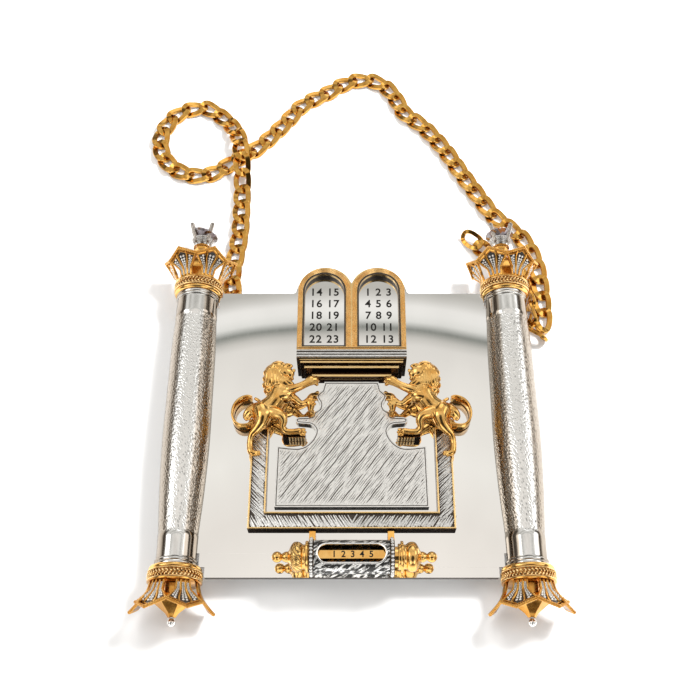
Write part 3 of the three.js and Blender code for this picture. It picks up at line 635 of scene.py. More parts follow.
def cast_gold():
    """Gold of the cast lions, with painted shade in their folds."""
    return gold_finish("cast_gold", colours().gold_roughness, (0.82, 0.68, 0.5), 0.12, 4.0, span=(0.2, 0.78))


def chain_gold():
    """Slightly duller gold of the chain, with painted shade in its recesses."""
    base = (0.73, 0.42, 0.105)
    return gold_finish("chain_gold", colours().gold_roughness * 1.1, (0.84, 0.7, 0.5), 0.05, base=base)


def chased_gold():
    """Gold with engraved scrolls, on the left knob; the scrolls are painted dark as painted shade."""
    gold = tuple(colours().gold)
    finish = Finish("chased_gold", gold, 0.2)
    values = {"Scale": 260.0, "Distortion": 9.0, "Detail": 1.5, "Vector": finish.place}
    scrolls = finish.node("ShaderNodeTexWave", values, bands_direction="DIAGONAL")
    cut = finish.ramp(scrolls.outputs["Fac"], 0.08, 0.4)
    # Darker colour in the scrolls: painted shade
    finish.feed("Base Color", finish.blend(cut, shade(gold, 0.3), gold))
    finish.bump(cut, 0.22, 0.8)
    return finish.material


def black_enamel_and_shadow():
    """Dark ground of the crowns' inlays, partly an enamelled ground and partly painted shadow round the
    beads.
    """
    finish = Finish("black_enamel_and_shadow", colours().enamel, metallic=0)
    grain = finish.noise(finish.mapped(900))
    finish.feed("Roughness", finish.ramp(grain, 0.3, 0.7, 0.28, 0.5))
    finish.bump(grain, 0.02, 0.4)
    return finish.material


def numeral_ink():
    """Dull black filling of the numerals."""
    finish = Finish("numeral_ink", (0.008, 0.007, 0.006), metallic=0)
    finish.set("Specular IOR Level", 0.2)
    grain = finish.noise(finish.mapped(900), 2)
    finish.feed("Roughness", finish.ramp(grain, 0.3, 0.7, 0.5, 0.8))
    return finish.material


def clear_stone():
    """Cut crystal: lilac-grey facets painted lighter and darker, with a brown fire inside: painted
    reflections.
    """
    finish = Finish("clear_stone", roughness=0.0, metallic=0)
    for name, value in (("IOR", 1.7), ("Transmission Weight", 0.45), ("Coat Weight", 1.0)):
        finish.set(name, value)
    # Random cells paint the facets' glints and brown fire: painted reflections
    cells = finish.cells(finish.place, 330.0, 1.0)["Color"]
    glint = finish.node("ShaderNodeSeparateColor", {0: cells}).outputs
    tint = tuple(colours().stone)
    pale = finish.blend(finish.ramp(glint[0], 0.1, 0.9), shade(tint, 0.3), tint)
    fire = finish.blend(finish.ramp(glint[2], 0.1, 0.9), (0.05, 0.02, 0.01), (0.5, 0.2, 0.07))
    finish.feed("Base Color", finish.blend(finish.ramp(glint[1], 0.52, 0.56), pale, fire))
    return finish.material


MAKERS = {
    "mirror": mirror_silver, "silver": plain_silver, "stippled": stippled_silver, "field": field_silver,
    "feathered": feathered_silver, "hatched": hatched_silver, "antique": antique_silver,
    "prong": prong_silver, "column": column_silver, "dark": painted_shade_silver, "dark_gold": dark_gold,
    "shadow_gold": shadow_gold, "gold": polished_gold, "bright": lit_gold, "crown": crown_gold,
    "cast": cast_gold, "chain": chain_gold, "chased": chased_gold, "enamel": black_enamel_and_shadow,
    "ink": numeral_ink, "stone": clear_stone,
}
FINISHES = {}


def finish(name):
    """A finish by name, made once."""
    if name not in FINISHES:
        FINISHES[name] = MAKERS[name]()
    return FINISHES[name]


def give(node, name):
    """Gives a node that keeps its own shape a finish."""
    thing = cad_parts[node]
    thing.data.materials.clear()
    thing.data.materials.append(finish(name))


# Stage


CAMERA_LENS, CAMERA_SENSOR = 50, 36
CAMERA_ELEVATION = 62.6
CAMERA_PLACE = (-1.1, -266.7, 612.9)
FLOOR_REACH = 6.0
# Share of its own white glow that the camera and reflections see in the floor
FLOOR_GLOW = 0.15
# Name, place, size and power of each soft lamp over the middle of the table
LAMPS = (("key", (0.8, 0.5, 1.2), 0.35, 34.0), ("fill", (-0.5, 0.3, 1.5), 0.9, 6.0))
# Height of a direction, and the studio's tone there: the polished plate mirrors heights of 0.86 to 0.97
SKY = (
    (0.0, (0.93, 0.92, 0.9)), (0.11, (0.9, 0.89, 0.87)), (0.14, (0.13, 0.115, 0.1)),
    (0.2, (0.09, 0.08, 0.07)), (0.32, (0.24, 0.215, 0.19)), (0.4, (0.04, 0.036, 0.03)),
    (0.46, (0.8, 0.79, 0.76)), (0.6, (0.9, 0.89, 0.86)), (0.7, (0.5, 0.49, 0.46)),
    (0.79, (0.95, 0.94, 0.91)), (0.84, (0.6, 0.59, 0.56)), (0.857, (0.5, 0.49, 0.46)),
    (0.8625, (0.9, 0.89, 0.87)), (0.870, (0.88, 0.88, 0.86)), (0.8728, (0.66, 0.67, 0.64)),
    (0.874, (0.16, 0.18, 0.165)), (0.8755, (0.26, 0.27, 0.25)), (0.878, (0.55, 0.54, 0.51)),
    (0.882, (0.78, 0.76, 0.73)), (0.9, (0.84, 0.82, 0.785)), (0.93, (0.9, 0.885, 0.85)),
    (0.95, (0.86, 0.825, 0.785)), (0.97, (0.94, 0.9, 0.855)), (1.0, (0.95, 0.93, 0.9)),
)
# Bright windows and one dark patch round the camera: direction, inner and outer spread, and brightness
WINDOWS = (
    ((-0.72, 0.12, 0.68), 0.975, 0.965, 2.6), ((0.78, 0.3, 0.55), 0.975, 0.965, 2.2),
    ((0.45, -0.75, 0.48), 0.975, 0.965, 2.2), ((-0.45, -0.8, 0.4), 0.98, 0.97, 2.0),
    ((0.1, 0.85, 0.52), 0.975, 0.96, 1.6), ((0.0, -0.46, 0.888), 0.95, 0.89, 0.04),
)


def studio_world():
    """Pale studio with dark gaps, so that the metal shows light and dark bands."""
    world = bpy.data.worlds.new("studio")
    bpy.context.scene.world = world
    world.use_nodes = True
    world.node_tree.nodes.clear()
    nodes = Nodes(world.node_tree)
    towards = nodes.node("ShaderNodeTexCoord").outputs["Generated"]
    height = nodes.node("ShaderNodeSeparateXYZ", {0: towards}).outputs["Z"]
    drift = nodes.ramp(nodes.noise(towards, 2.0, 0.45, 5.0), 0.0, 1.0, -0.004, 0.004)
    ramp = nodes.node("ShaderNodeValToRGB", {0: nodes.math("ADD", height, drift)})
    band = ramp.color_ramp
    while len(band.elements) < len(SKY):
        band.elements.new(0.5)
    for element, (position, colour) in zip(band.elements, SKY):
        element.position = position
        element.color = (*colour, 1)
    light = ramp.outputs[0]
    for direction, inner, outer, tone in WINDOWS:
        values = {0: towards, 1: Vector(direction).normalized()}
        facing = nodes.node("ShaderNodeVectorMath", values, operation="DOT_PRODUCT").outputs["Value"]
        light = nodes.blend(nodes.ramp(facing, outer, inner), light, (tone, tone, tone), clamp_result=False)
    background = nodes.node("ShaderNodeBackground", {"Color": light, "Strength": 1.0})
    nodes.node("ShaderNodeOutputWorld", {"Surface": background.outputs[0]})


def pale_floor():
    """Floor that the camera and reflections see a little whiter, with the object's shadow kept."""
    material = bpy.data.materials.new("pale_floor")
    material.use_nodes = True
    material.node_tree.nodes.clear()
    nodes = Nodes(material.node_tree)
    ray = nodes.node("ShaderNodeLightPath").outputs
    seen = nodes.math("MAXIMUM", ray["Is Camera Ray"], ray["Is Transmission Ray"])
    share = nodes.math("MULTIPLY", nodes.math("MAXIMUM", seen, ray["Is Glossy Ray"]), FLOOR_GLOW)
    diffuse = nodes.node("ShaderNodeBsdfDiffuse", {"Color": (*colours().floor, 1)})
    glow = nodes.node("ShaderNodeEmission", {"Color": (1, 1, 1, 1)})
    mix = nodes.node("ShaderNodeMixShader", {0: share, 1: diffuse.outputs[0], 2: glow.outputs[0]})
    nodes.node("ShaderNodeOutputMaterial", {"Surface": mix.outputs[0]})
    return material


def softbox(name, place, size, power):
    """Square soft lamp that points at the middle of the table and isn't mirrored."""
    light = bpy.data.lights.new(name, "AREA")
    light.shape = "RECTANGLE"
    light.size = light.size_y = size
    light.energy = power
    lamp = added(name, light)
    lamp.location = place
    lamp.visible_glossy = False
    lamp.rotation_euler = (-Vector(place)).to_track_quat("-Z", "Y").to_euler()


class SHIELD_OT_stage(bpy.types.Operator):
    """Adds the camera, the pale floor and the soft studio light"""

    bl_idname = "shield.stage"
    bl_label = "Stage"

    def execute(self, context):
        scene = context.scene
        camera = bpy.data.cameras.new("camera")
        camera.lens = CAMERA_LENS
        camera.sensor_width = CAMERA_SENSOR
        camera.clip_start = 0.01
        viewer = added("camera", camera)
        viewer.location = ORIGIN + Vector(CAMERA_PLACE) * MM
        viewer.rotation_euler = (math.radians(90 - CAMERA_ELEVATION), 0, 0)
        scene.camera = viewer

        mesh = bpy.data.meshes.new("floor")
        corners = [(x * FLOOR_REACH, y * FLOOR_REACH, 0) for x, y in ((-1, -1), (1, -1), (1, 1), (-1, 1))]
        mesh.from_pydata(corners, [], [(0, 1, 2, 3)])
        mesh.materials.append(pale_floor())
        floor = added("floor", mesh)
        studio_world()
        for lamp in LAMPS:
            softbox(*lamp)
        scene.view_settings.view_transform = "Standard"
        return {"FINISHED"}


# Chain


CHAIN_SPLITS = (0, 6, 28, 45)
LINK_HALF_WIDTH = 4.95
LINK_TWIST = 1.38
LINK_THICKNESS = 2.3
LINK_BITE = 0.3
# The sides of a visible link rise and fall a little more than those of the solids
LINK_RISE = 1.3 * LINK_TWIST
WIRE_ROUNDING = 0.34
# Half length and half width, wire, and the rise and lean with which the end link lies on the last link
END_HALF_LENGTH, END_HALF_WIDTH, END_WIRE = 8, 5, 3.2
END_RISE, END_LEAN = 2.3, -32
COURSE_STEPS = 24
# Link numbers, and the roll of the chain there in degrees: it stands on edge beside the column
CHAIN_ROLLS = ((54, 0), (56, 90), (57, 90), (58.2, 0))
JUMP_WIRE = 0.9
FIRST_REACH = 8.3
EYE_X, EYE_Y = 88.0, 86.0
# X and Y from the left eye, and lift above the resting height
ROUTE = (
    (0, 11.6, 3.8), (-0.6, 19, 1.8), (-1.6, 26, 0.4), (-2.4, 32.1, 0), (-2.1, 41, 0), (-0.2, 56.3, 0),
    (1.6, 74.6, 0), (1.7, 94.5, 0), (1.5, 108, 0), (1.3, 119, 0.8), (1, 128.5, 3), (0.4, 138.5, 5.7),
    (-0.8, 149.5, 6.6), (-2.6, 160.5, 5.7), (-6.2, 171.5, 3), (-11.5, 181, 0.8), (-19, 190, 0),
    (-33.5, 199.7, 0), (-54.5, 194.3, 0), (-66.9, 173.7, 0), (-66.4, 154.9, 0), (-56.5, 139, 0),
    (-38.5, 130.5, 0), (-21.5, 133.3, 0), (-6.1, 145.4, 0), (11.8, 158.4, 0), (31, 180.7, 0),
    (48.1, 203.6, 0), (65.9, 215.2, 0), (83.9, 227.1, 0), (96.9, 230.6, 0), (109.8, 228.1, 0),
    (119.7, 219.7, 0), (126.5, 207.3, 0), (132.5, 194.5, 0), (147, 180.6, 0), (163.2, 157.5, 0),
    (177.4, 130.5, 0), (189.8, 107.9, 0), (199.3, 91.4, 0), (211.7, 78.7, 0), (219.8, 69.5, 0),
    (225.8, 56, 0), (228.8, 43, 0), (230, 28.4, 0), (230.1, 15, 0), (229.8, 2, 0.2), (228, -8, 1.8),
    (224.2, -13.8, 3.6), (221, -8.6, 3.8), (220.8, 2, 3.6), (220.8, 14, 3.4), (220.4, 22, 1.4),
    (218.4, 31, 0), (213.6, 39.5, 0), (206, 46.5, 0), (197.5, 53.4, 0), (189, 60.3, 0),
)


def chain_course():
    """Evenly sampled points along the chain's smooth route, as the solids follow it."""
    rest = TABLE_Z + LINK_TWIST + LINK_THICKNESS / 2 + SEAT
    stops = [Vector((x - EYE_X, y + EYE_Y, rest + lift)) for x, y, lift in ROUTE]
    stops = [stops[0] * 2 - stops[1], *stops, stops[-1] * 2 - stops[-2]]
    points = []
    for p0, p1, p2, p3 in zip(stops, stops[1:], stops[2:], stops[3:]):
        d0, d1, d2 = ((b - a).length ** 0.5 for a, b in ((p0, p1), (p1, p2), (p2, p3)))
        start = ((p1 - p0) / d0 - (p2 - p0) / (d0 + d1) + (p2 - p1) / d1) * d1
        end = ((p2 - p1) / d1 - (p3 - p1) / (d1 + d2) + (p3 - p2) / d2) * d1
        for step in range(COURSE_STEPS):
            t = step / COURSE_STEPS
            points.append(
                p1 * (2 * t ** 3 - 3 * t * t + 1) + start * (t ** 3 - 2 * t * t + t)
                + p2 * (3 * t * t - 2 * t ** 3) + end * (t ** 3 - t * t)
            )
    points.append(stops[-2])
    return points


def roll_at(distance):
    number = distance * MM / sizes().link_pitch
    for (start, low), (end, high) in zip(CHAIN_ROLLS, CHAIN_ROLLS[1:]):
        if start <= number < end:
            return math.radians(lerp(low, high, (number - start) / (end - start)))
    return 0.0


def spots_along(points, distances):
    """Places at distances along the points, each with its axes laid on the route."""
    travelled = [0.0]
    for a, b in zip(points, points[1:]):
        travelled.append(travelled[-1] + (b - a).length)
    spots = []
    for distance in distances:
        i = next((k for k, reached in enumerate(travelled) if reached > distance), len(points) - 1)
        span = travelled[i] - travelled[i - 1]
        centre = points[i - 1] + (points[i] - points[i - 1]) * ((distance - travelled[i - 1]) / span)
        low, high = max(i - 2, 0), min(i + 1, len(points) - 1)
        along = (points[high] - points[low]).normalized()
        across = Matrix.Rotation(roll_at(distance), 3, along) @ Vector((0, 0, 1)).cross(along).normalized()
        up = along.cross(across)
        spots.append(Matrix.Translation(centre) @ Matrix((along, across, up)).transposed().to_4x4())
    return spots, travelled[-1]


def link_path(back, ahead, half_width, steps=28):
    """Outline of a twisted link with straight end bars and rounded sides."""
    path = []
    for turn in turns(steps, 0.5):
        c, s = math.cos(turn), math.sin(turn)
        reach = ahead if c > 0 else back
        x = reach * math.copysign(abs(c) ** 0.85, c)
        y = half_width * math.copysign(abs(s) ** 0.78, s)
        path.append((x, y, -LINK_RISE * math.sin(2 * turn)))
    return path


def wire_section(width):
    """Wire with its flats cut bright and its corners rounded."""
    w, t = width / 2, LINK_THICKNESS / 2
    x, y = w - WIRE_ROUNDING, t - WIRE_ROUNDING
    return [(w, -y), (w, y), (x, t), (-x, t), (-w, y), (-w, -y), (-x, -t), (x, -t)]


class SHIELD_OT_chain(bpy.types.Operator):
    """Adds the jump ring, the curb chain and its larger end link"""

    bl_idname = "shield.chain"
    bl_label = "Chain"

    def end_link(self, final, beyond):
        """The larger link past the end of the course, leaning on the last link."""
        place = Matrix.Translation(final.to_3x3() @ Vector((beyond, 0, 0))) @ final
        place = place @ Matrix.Translation((0, 0, END_RISE)) @ Matrix.Rotation(math.radians(END_LEAN), 4, "X")
        end = Form(place)
        path = link_path(END_HALF_LENGTH, END_HALF_LENGTH, END_HALF_WIDTH, 36)
        end.swept(path, wire_section(END_WIRE), closed=True, up=(0, 0, 1))
        return end.piece("chain_clasp_link", "chain", "gold_plate", ["chain_end_link"], crease=40)

    def jump_ring(self):
        """The ring that hangs in the left eye."""
        ring = Form()
        low, high = (Vector(corner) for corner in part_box("jump_ring"))
        middle = ((low + high) / 2 - ORIGIN) / MM
        radius = (high.y - low.y) / MM / 2 - JUMP_WIRE
        path = [middle + Vector((0, radius * math.cos(turn), radius * math.sin(turn))) for turn in turns(40)]
        ring.swept(path, ellipse_section(JUMP_WIRE, JUMP_WIRE, 12), closed=True, up=(1, 0, 0))
        return ring.piece("left_jump_ring", "gold", "gold_plate", ["jump_ring"])

    def execute(self, context):
        pitch = sizes().link_pitch / MM
        wire = sizes().link_wire / MM
        reach = (pitch + wire - LINK_BITE) / 2
        free = pitch + wire + SEAT - reach
        course = chain_course()
        length = spots_along(course, [0])[1]
        count = int(length / pitch) + 1
        spots = spots_along(course, [i * pitch for i in range(count)])[0]
        chain = Form()
        section = wire_section(wire)
        for i, spot in enumerate(spots):
            back = reach
            if i in CHAIN_SPLITS:
                back = free if i else FIRST_REACH
            outline = link_path(back, reach, LINK_HALF_WIDTH)
            chain.swept(outline, section, closed=True, up=(0, 0, 1), place=spot)
        nodes = [f"chain_stretch_{n}" for n in range(1, len(CHAIN_SPLITS) + 1)]
        curb = chain.piece("curb_chain", "chain", "gold_plate", nodes, crease=25)
        beyond = (count - 1) * pitch + reach + END_HALF_LENGTH - (wire + END_WIRE) / 2 - SEAT
        last = self.end_link(spots_along(course, [length - 0.01])[0][0], beyond - length)
        self.jump_ring()
        return {"FINISHED"}


# Plate and columns


# Dark strip behind the plate's lower edge: painted shadow under the edge
SHADOW_STRIP_HALF, SHADOW_STRIP_HEIGHT, SHADOW_STRIP_DEPTH = 93.2, 1.2, 2.4


def plate_outline():
    """Edge of the plate, with strips beside the collars and the double arch behind the tablets."""
    narrow, wide = 93.7, 101.96
    low, high, top = -96.0, 84.5, 97.0
    arch_x, arch_y, radius, fillet = 18.85, 95.55, 21.65, 3.0
    rise = fillet + 1.45
    fillet_x = arch_x + math.sqrt((radius + fillet) ** 2 - rise ** 2)
    meet = math.degrees(math.atan2(rise, fillet_x - arch_x))
    notch = math.degrees(math.acos(arch_x / radius))
    right = [(narrow, PLATE_BOTTOM_Y), (narrow, -104.9), (97.5, -104.9), (97.5, low), (wide, low)]
    right += [(wide, high), (95.9, high), (95.9, 93.3), (narrow, 93.3), (narrow, top)]
    right += arc(fillet_x, top + fillet, fillet, -90, meet - 180, 6)
    right += arc(arch_x, arch_y, radius, meet, 180 - notch, 40)
    left = [(-x, y) for x, y in reversed(right[:-1])]
    return right + left


class SHIELD_OT_plate(bpy.types.Operator):
    """Adds the mirror plate and finishes the chain eyes behind it"""

    bl_idname = "shield.plate"
    bl_label = "Plate"

    def execute(self, context):
        plate = Form()
        outline = plate_outline()
        plate.prism([outline], -PLATE_FRONT, PLATE_FRONT)
        # The plate's edges and the strip behind its lower edge are dark: painted shadow
        plate.finishes[-len(outline):] = [1] * len(outline)
        plate.finish = 1
        back, top = -PLATE_FRONT, PLATE_BOTTOM_Y + SHADOW_STRIP_HEIGHT
        plate.block((-SHADOW_STRIP_HALF, PLATE_BOTTOM_Y, back - SHADOW_STRIP_DEPTH), (SHADOW_STRIP_HALF, top, back + 0.05))
        plate.piece("mirror_plate", "mirror dark", "polished_silver", ["shield_plate"], edge=0.12)
        for side in SIDES:
            give(f"chain_eye_{side}", "silver")
        return {"FINISHED"}


# Height along the shaft and its radius there, both as shares
SHAFT_STATIONS = (
    (0.0, 0.8), (0.086, 0.81), (0.24, 0.925), (0.42, 1.0), (0.61, 0.99), (0.8, 0.97), (0.923, 0.915),
    (1.0, 0.895),
)
SHAFT_BORE = 11.4
# Depth and slope of the step down to the punched part of the shaft, and the rounding of its rims
STEP_DEPTH, STEP_SLOPE, RIM_ROUNDING = 0.22, 0.35, 0.3
# Opening for the plate: how far it reaches from the axis, its lower and upper end, and its half width
SLOT_REACH, SLOT_LOW, SLOT_HIGH, SLOT_HALF = 18.5, -96.3, 84.8, 1.05
ROD_HOLE = 1.6
COLLAR_HEIGHT = 4.0
COLLAR_OVERHANG, COLLAR_ROUNDING, SPIGOT_RADIUS, SPIGOT_HEIGHT = 0.8, 0.4, 11.1, 3
# The solids' largest shaft radius, which the collars follow
SHAFT_RADIUS = 16.3
CAP_RADIUS, CAP_BAND = 17, 3.2
HUB_RADIUS, HUB_HEIGHT = 15.1, 5.6
# Half sizes of a strand of rope, its distance from the axis, and the rise and slant of a row
STRAND, STRAND_MIDDLE = (0.72, 1.5, 1.1), 16.6
ROW_RISE, ROW_SLANT = 1.08, 0.7
# Radius and height of a rope ring's core and of the rims above and below its strands
ROPE_CORE = [(15.4, -2.5), (16.5, -2.5), (16.3, 0), (16.5, 2.5), (15.4, 2.5)]
RIM_RADIUS, RIM_HEIGHT = 17.0, 2.75
BALL_RADIUS = 2.6
CAP_START = COLLAR_HEIGHT + SEAT
ROPE_MIDDLE = CAP_START + CAP_BAND + SEAT + 2.6
CROWN_START = CAP_START + CAP_BAND + HUB_HEIGHT + SEAT + 1.2
CORE_START = CROWN_START + SEAT
# Radius and height of the six-sided cores' corners
LOWER_CORE = [(8.2, 0), (8.2, 6.5), (11.6, 10.4), (11.6, 12.0), (4.4, 17.8), (2.6, 20.5)]
UPPER_CORE = [
    (8.2, 0), (8.2, 6.6), (10.3, 11.2), (10.3, 12.4), (8.2, 18.0), (5.0, 23.4), (4.0, 27), (4.3, 29.4),
    (5.6, 31.2), (5.6, 33.3),
]


def column_end(side, end):
    """Frame of a capital: its Y axis runs outwards from the end of the shaft."""
    x = SIGN[side] * COLUMN_X
    if end == "upper":
        return Matrix.Translation((x, COLUMN_FOOT_Y + COLUMN_LENGTH, 0))
    return Matrix.Translation((x, COLUMN_FOOT_Y, 0)) @ Matrix.Rotation(math.pi, 4, "X")


def ringed(radius, height, rounding):
    """Corner points of a ring's edge, rounded off."""
    return [(radius - rounding * (1 - math.sin(a)), height - rounding * (1 - math.cos(a)))
            for a in (math.radians(d) for d in (90, 60, 30, 0))]


class SHIELD_OT_columns(bpy.types.Operator):
    """Adds the stippled shafts with their collars, caps, rope rings and ball finials"""

    bl_idname = "shield.columns"
    bl_label = "Columns"

    def shaft(self, side):
        """Slotted tube, punched between its two smooth ends."""
        place = Matrix.Translation((SIGN[side] * COLUMN_X, COLUMN_FOOT_Y, 0))
        radius = sizes().shaft_radius / MM
        profile = [(share * radius, height * COLUMN_LENGTH) for height, share in SHAFT_STATIONS]
        swell = smooth_line(profile, 8)
        first, last = profile[1][1], profile[-2][1]
        shaft = Form(place)
        foot = [p for p in swell if p[1] <= first + 1e-6]
        head = [p for p in swell if p[1] >= last - 1e-6]
        waist = [(r - STEP_DEPTH, y) for r, y in swell if first < y < last]
        start = (foot[-1][0] - STEP_DEPTH, first + STEP_SLOPE)
        end = (head[0][0] - STEP_DEPTH, last - STEP_SLOPE)
        base, tip = foot[0][0], head[-1]
        shaft.turned([(SHAFT_BORE, 0), (base - RIM_ROUNDING, 0), (base, RIM_ROUNDING), *foot[1:], start], 96)
        shaft.finish = 1
        shaft.turned([start, *waist, end], 96)
        shaft.finish = 0
        rim = [(tip[0], tip[1] - RIM_ROUNDING), (tip[0] - RIM_ROUNDING, tip[1])]
        shaft.turned([end, *head[:-1], *rim, (SHAFT_BORE, tip[1]), (SHAFT_BORE, 0)], 96)
        nodes = [f"{side}_column_shaft"]
        thing = shaft.piece(f"{side}_shaft", "column stippled", "satin_silver", nodes, crease=50)
        cutter = Form()
        low_x, high_x = sorted((SIGN[side] * (COLUMN_X - SLOT_REACH), SIGN[side] * COLUMN_X))
        cutter.block((low_x, SLOT_LOW, -SLOT_HALF), (high_x, SLOT_HIGH, SLOT_HALF))
        carve(thing, cutter)

    def collar(self, side, end):
        """Ribbed silver ring on the end of the shaft, with a spigot in its bore."""
        share = SHAFT_STATIONS[-1 if end == "upper" else 0][1]
        radius = SHAFT_RADIUS * share + COLLAR_OVERHANG
        rounded = ringed(radius, COLLAR_ROUNDING + SEAT, COLLAR_ROUNDING)
        foot = [(r, 2 * SEAT + COLLAR_ROUNDING - y) for r, y in rounded]
        collar = Form(column_end(side, end))
        collar.turned([
            (ROD_HOLE, -SPIGOT_HEIGHT), (SPIGOT_RADIUS, -SPIGOT_HEIGHT), (SPIGOT_RADIUS, SEAT),
            *reversed(foot), (radius, 1.7), (radius - 0.35, 2.0), (radius, 2.3),
            *ringed(radius, COLLAR_HEIGHT, COLLAR_ROUNDING), (ROD_HOLE, COLLAR_HEIGHT),
        ], 80, ring=True)
        nodes = [f"{side}_{end}_collar"]
        collar.piece(f"{side}_{end}_silver_collar", "column", "polished_silver", nodes, crease=50)

    def cap(self, side, end):
        """Gold ring with a rounded band and the hub that carries the rope ring."""
        cap = Form(column_end(side, end) @ Matrix.Translation((0, CAP_START, 0)))
        shares = (0.0, 0.12, 0.3, 0.5, 0.7, 0.88, 1.0)
        swell = [(CAP_RADIUS - 0.9 * (2 * share - 1) ** 2, CAP_BAND * share) for share in shares]
        top = CAP_BAND + HUB_HEIGHT
        profile = [(ROD_HOLE, 0), *swell, (HUB_RADIUS, CAP_BAND), (HUB_RADIUS, top), (ROD_HOLE, top)]
        cap.turned(profile, 80, ring=True)
        cap.piece(f"{side}_{end}_gold_cap", "gold", "gold_plate", [f"{side}_{end}_cap"], crease=50)

    def rope(self, side, end):
        """Two rows of slanting strands that meet in a herringbone."""
        count = sizes().rope_strands
        rope = Form(column_end(side, end) @ Matrix.Translation((0, ROPE_MIDDLE, 0)))
        # The rope's core is brown gold as painted shade between the strands, which are in paler lit gold
        rope.finish = 1
        rope.turned(ROPE_CORE, 72, ring=True)
        rope.finish = 0
        for height in (-RIM_HEIGHT, RIM_HEIGHT):
            rim = [(RIM_RADIUS + x, height + y) for x, y in ellipse_section(0.55, 0.5)]
            rope.turned(rim, 96, ring=True)
        for row, phase in ((-1, 0), (1, 0.25)):
            spot = Matrix.Translation((0, row * ROW_RISE, STRAND_MIDDLE))
            lean = spot @ Matrix.Rotation(-row * ROW_SLANT, 4, "Z")
            for angle in turns(count, phase):
                rope.ball((0, 0, 0), 1, 8, 6, STRAND, turn=Matrix.Rotation(angle, 4, "Y") @ lean)
        rope.piece(f"{side}_{end}_gold_rope", "bright dark_gold", "gold_plate", [f"{side}_{end}_rope_ring"])

    def foot_ball(self, side):
        ball = Form(column_end(side, "lower"))
        ball.ball((0, CORE_START + LOWER_CORE[-1][1] + SEAT + BALL_RADIUS, 0), BALL_RADIUS, 28, 18)
        ball.piece(f"{side}_foot_ball", "mirror", "polished_silver", [f"{side}_ball_finial"])

    def execute(self, context):
        for side in SIDES:
            self.shaft(side)
            for end in ENDS:
                self.collar(side, end)
                self.cap(side, end)
                self.rope(side, end)
            self.foot_ball(side)
            give(f"{side}_tie_rod", "silver")
        return {"FINISHED"}


# Crowns and stones


CROWN_HEIGHT = 18.9
SHOULDER_HEIGHT, SHOULDER = 13.8, 12.0
# Height and radius of a petal's outer surface, and height and half width of its outline
FLARE = ((0, 15.0), (6.6, 16.64), (13.8, 20.8), (18.9, 26.0))
WIDTH = ((0, 4.3), (6.6, 5.2), (13.8, 12.0), (18.9, 0.0))
# Heights of the rows of a petal's sheet
PETAL_ROWS = (0, 2, 4.5, 6.6, 8.6, 10.6, 12.4, 13.8, 15.2, 16.6, 17.9, 18.85)
# Numbers of a crown's finishes
GOLD, SILVER, ENAMEL_AND_SHADOW, DARK_GOLD = range(4)
# Shares of a petal's width at its outer ribs, edge beads and inner ribs, and at the edges of its inlays
OUTER_RIB, EDGE_BEADS, INNER_RIB = 0.95, 0.97, 0.33
INLAYS = ((-0.84, -0.46), (-0.2, 0.2), (0.46, 0.84))
# Radius, distance below the gable and spacing of the beads along it
GABLE_BEADS = ((1.15, 0.0, 1.3), (0.55, 2.0, 0.8))
# The back has no petals, so that the shield lies flat
PETAL_TURNS = (-90, -30, 30, 90)
# Share of its turn at which a lower crown's outer petal stands, a little to the front
OUTER_PETAL = 0.84
# Radius and height of the rows of beads on a prong cup, the beads' radius, their number and phase
CUP_BEADS = (
    (7.45, 5.4, 0.7, 34, 0.5), (6.9, 4.2, 0.62, 34, 0.5), (6.3, 3.0, 0.6, 32, 0), (5.7, 1.8, 0.55, 30, 0.5),
)
CUP_PROFILE = [
    (0, 0), (4.8, 0), (5.2, 0.4), (5.9, 2.2), (7.6, 5.2), (7.8, 5.8), (6.8, 5.8), (5.2, 2.8), (2.6, 1.2),
    (0, 1.2),
]
# Distance from the axis, height and thickness along a prong
PRONG = ((6.2, 3.2, 1.6), (6.9, 5.8, 1.6), (10.1, 14.3, 1.65), (10.5, 15.3, 1.7), (10.6, 15.6, 1.4))
# Radius and height of the rings of a stone's corners, their number and their phase
GIRDLE = 10.4
STONE_RINGS = (
    (0.0, 3.0, 1, 0.0), (GIRDLE * 0.42, 6.2, 8, 0.5), (GIRDLE, 10.1, 16, 0.0), (GIRDLE, 10.7, 16, 0.0),
    (GIRDLE * 0.8, 12.5, 8, 0.5), (6.3, 14.6, 8, 0.0), (0.0, 14.6, 1, 0.0),
)
STONE_LEAN = {"left": -16, "right": 4}


def at_height(table, height):
    for (h0, v0), (h1, v1) in zip(table, table[1:]):
        if height <= h1:
            return lerp(v0, v1, (height - h0) / (h1 - h0))
    return table[-1][1]


SMOOTH_FLARE = [(y, r) for r, y in smooth_line([(r, y) for y, r in FLARE], 6)]


def on_petal(x, height, out):
    """Point of a petal that faces +Z: across, along the column, and out from its surface."""
    return (x, height, at_height(SMOOTH_FLARE, height) + out)


def gable_height(share, margin):
    """Height where a line at a share of the petal's width meets its gable."""
    height = SHOULDER_HEIGHT
    for _ in range(8):
        across = abs(share) * at_height(WIDTH, min(height, SHOULDER_HEIGHT))
        height = CROWN_HEIGHT - margin - (CROWN_HEIGHT - SHOULDER_HEIGHT) * across / SHOULDER
    return height


def share_point(share, height, out):
    return on_petal(share * at_height(WIDTH, min(height, SHOULDER_HEIGHT)), height, out)


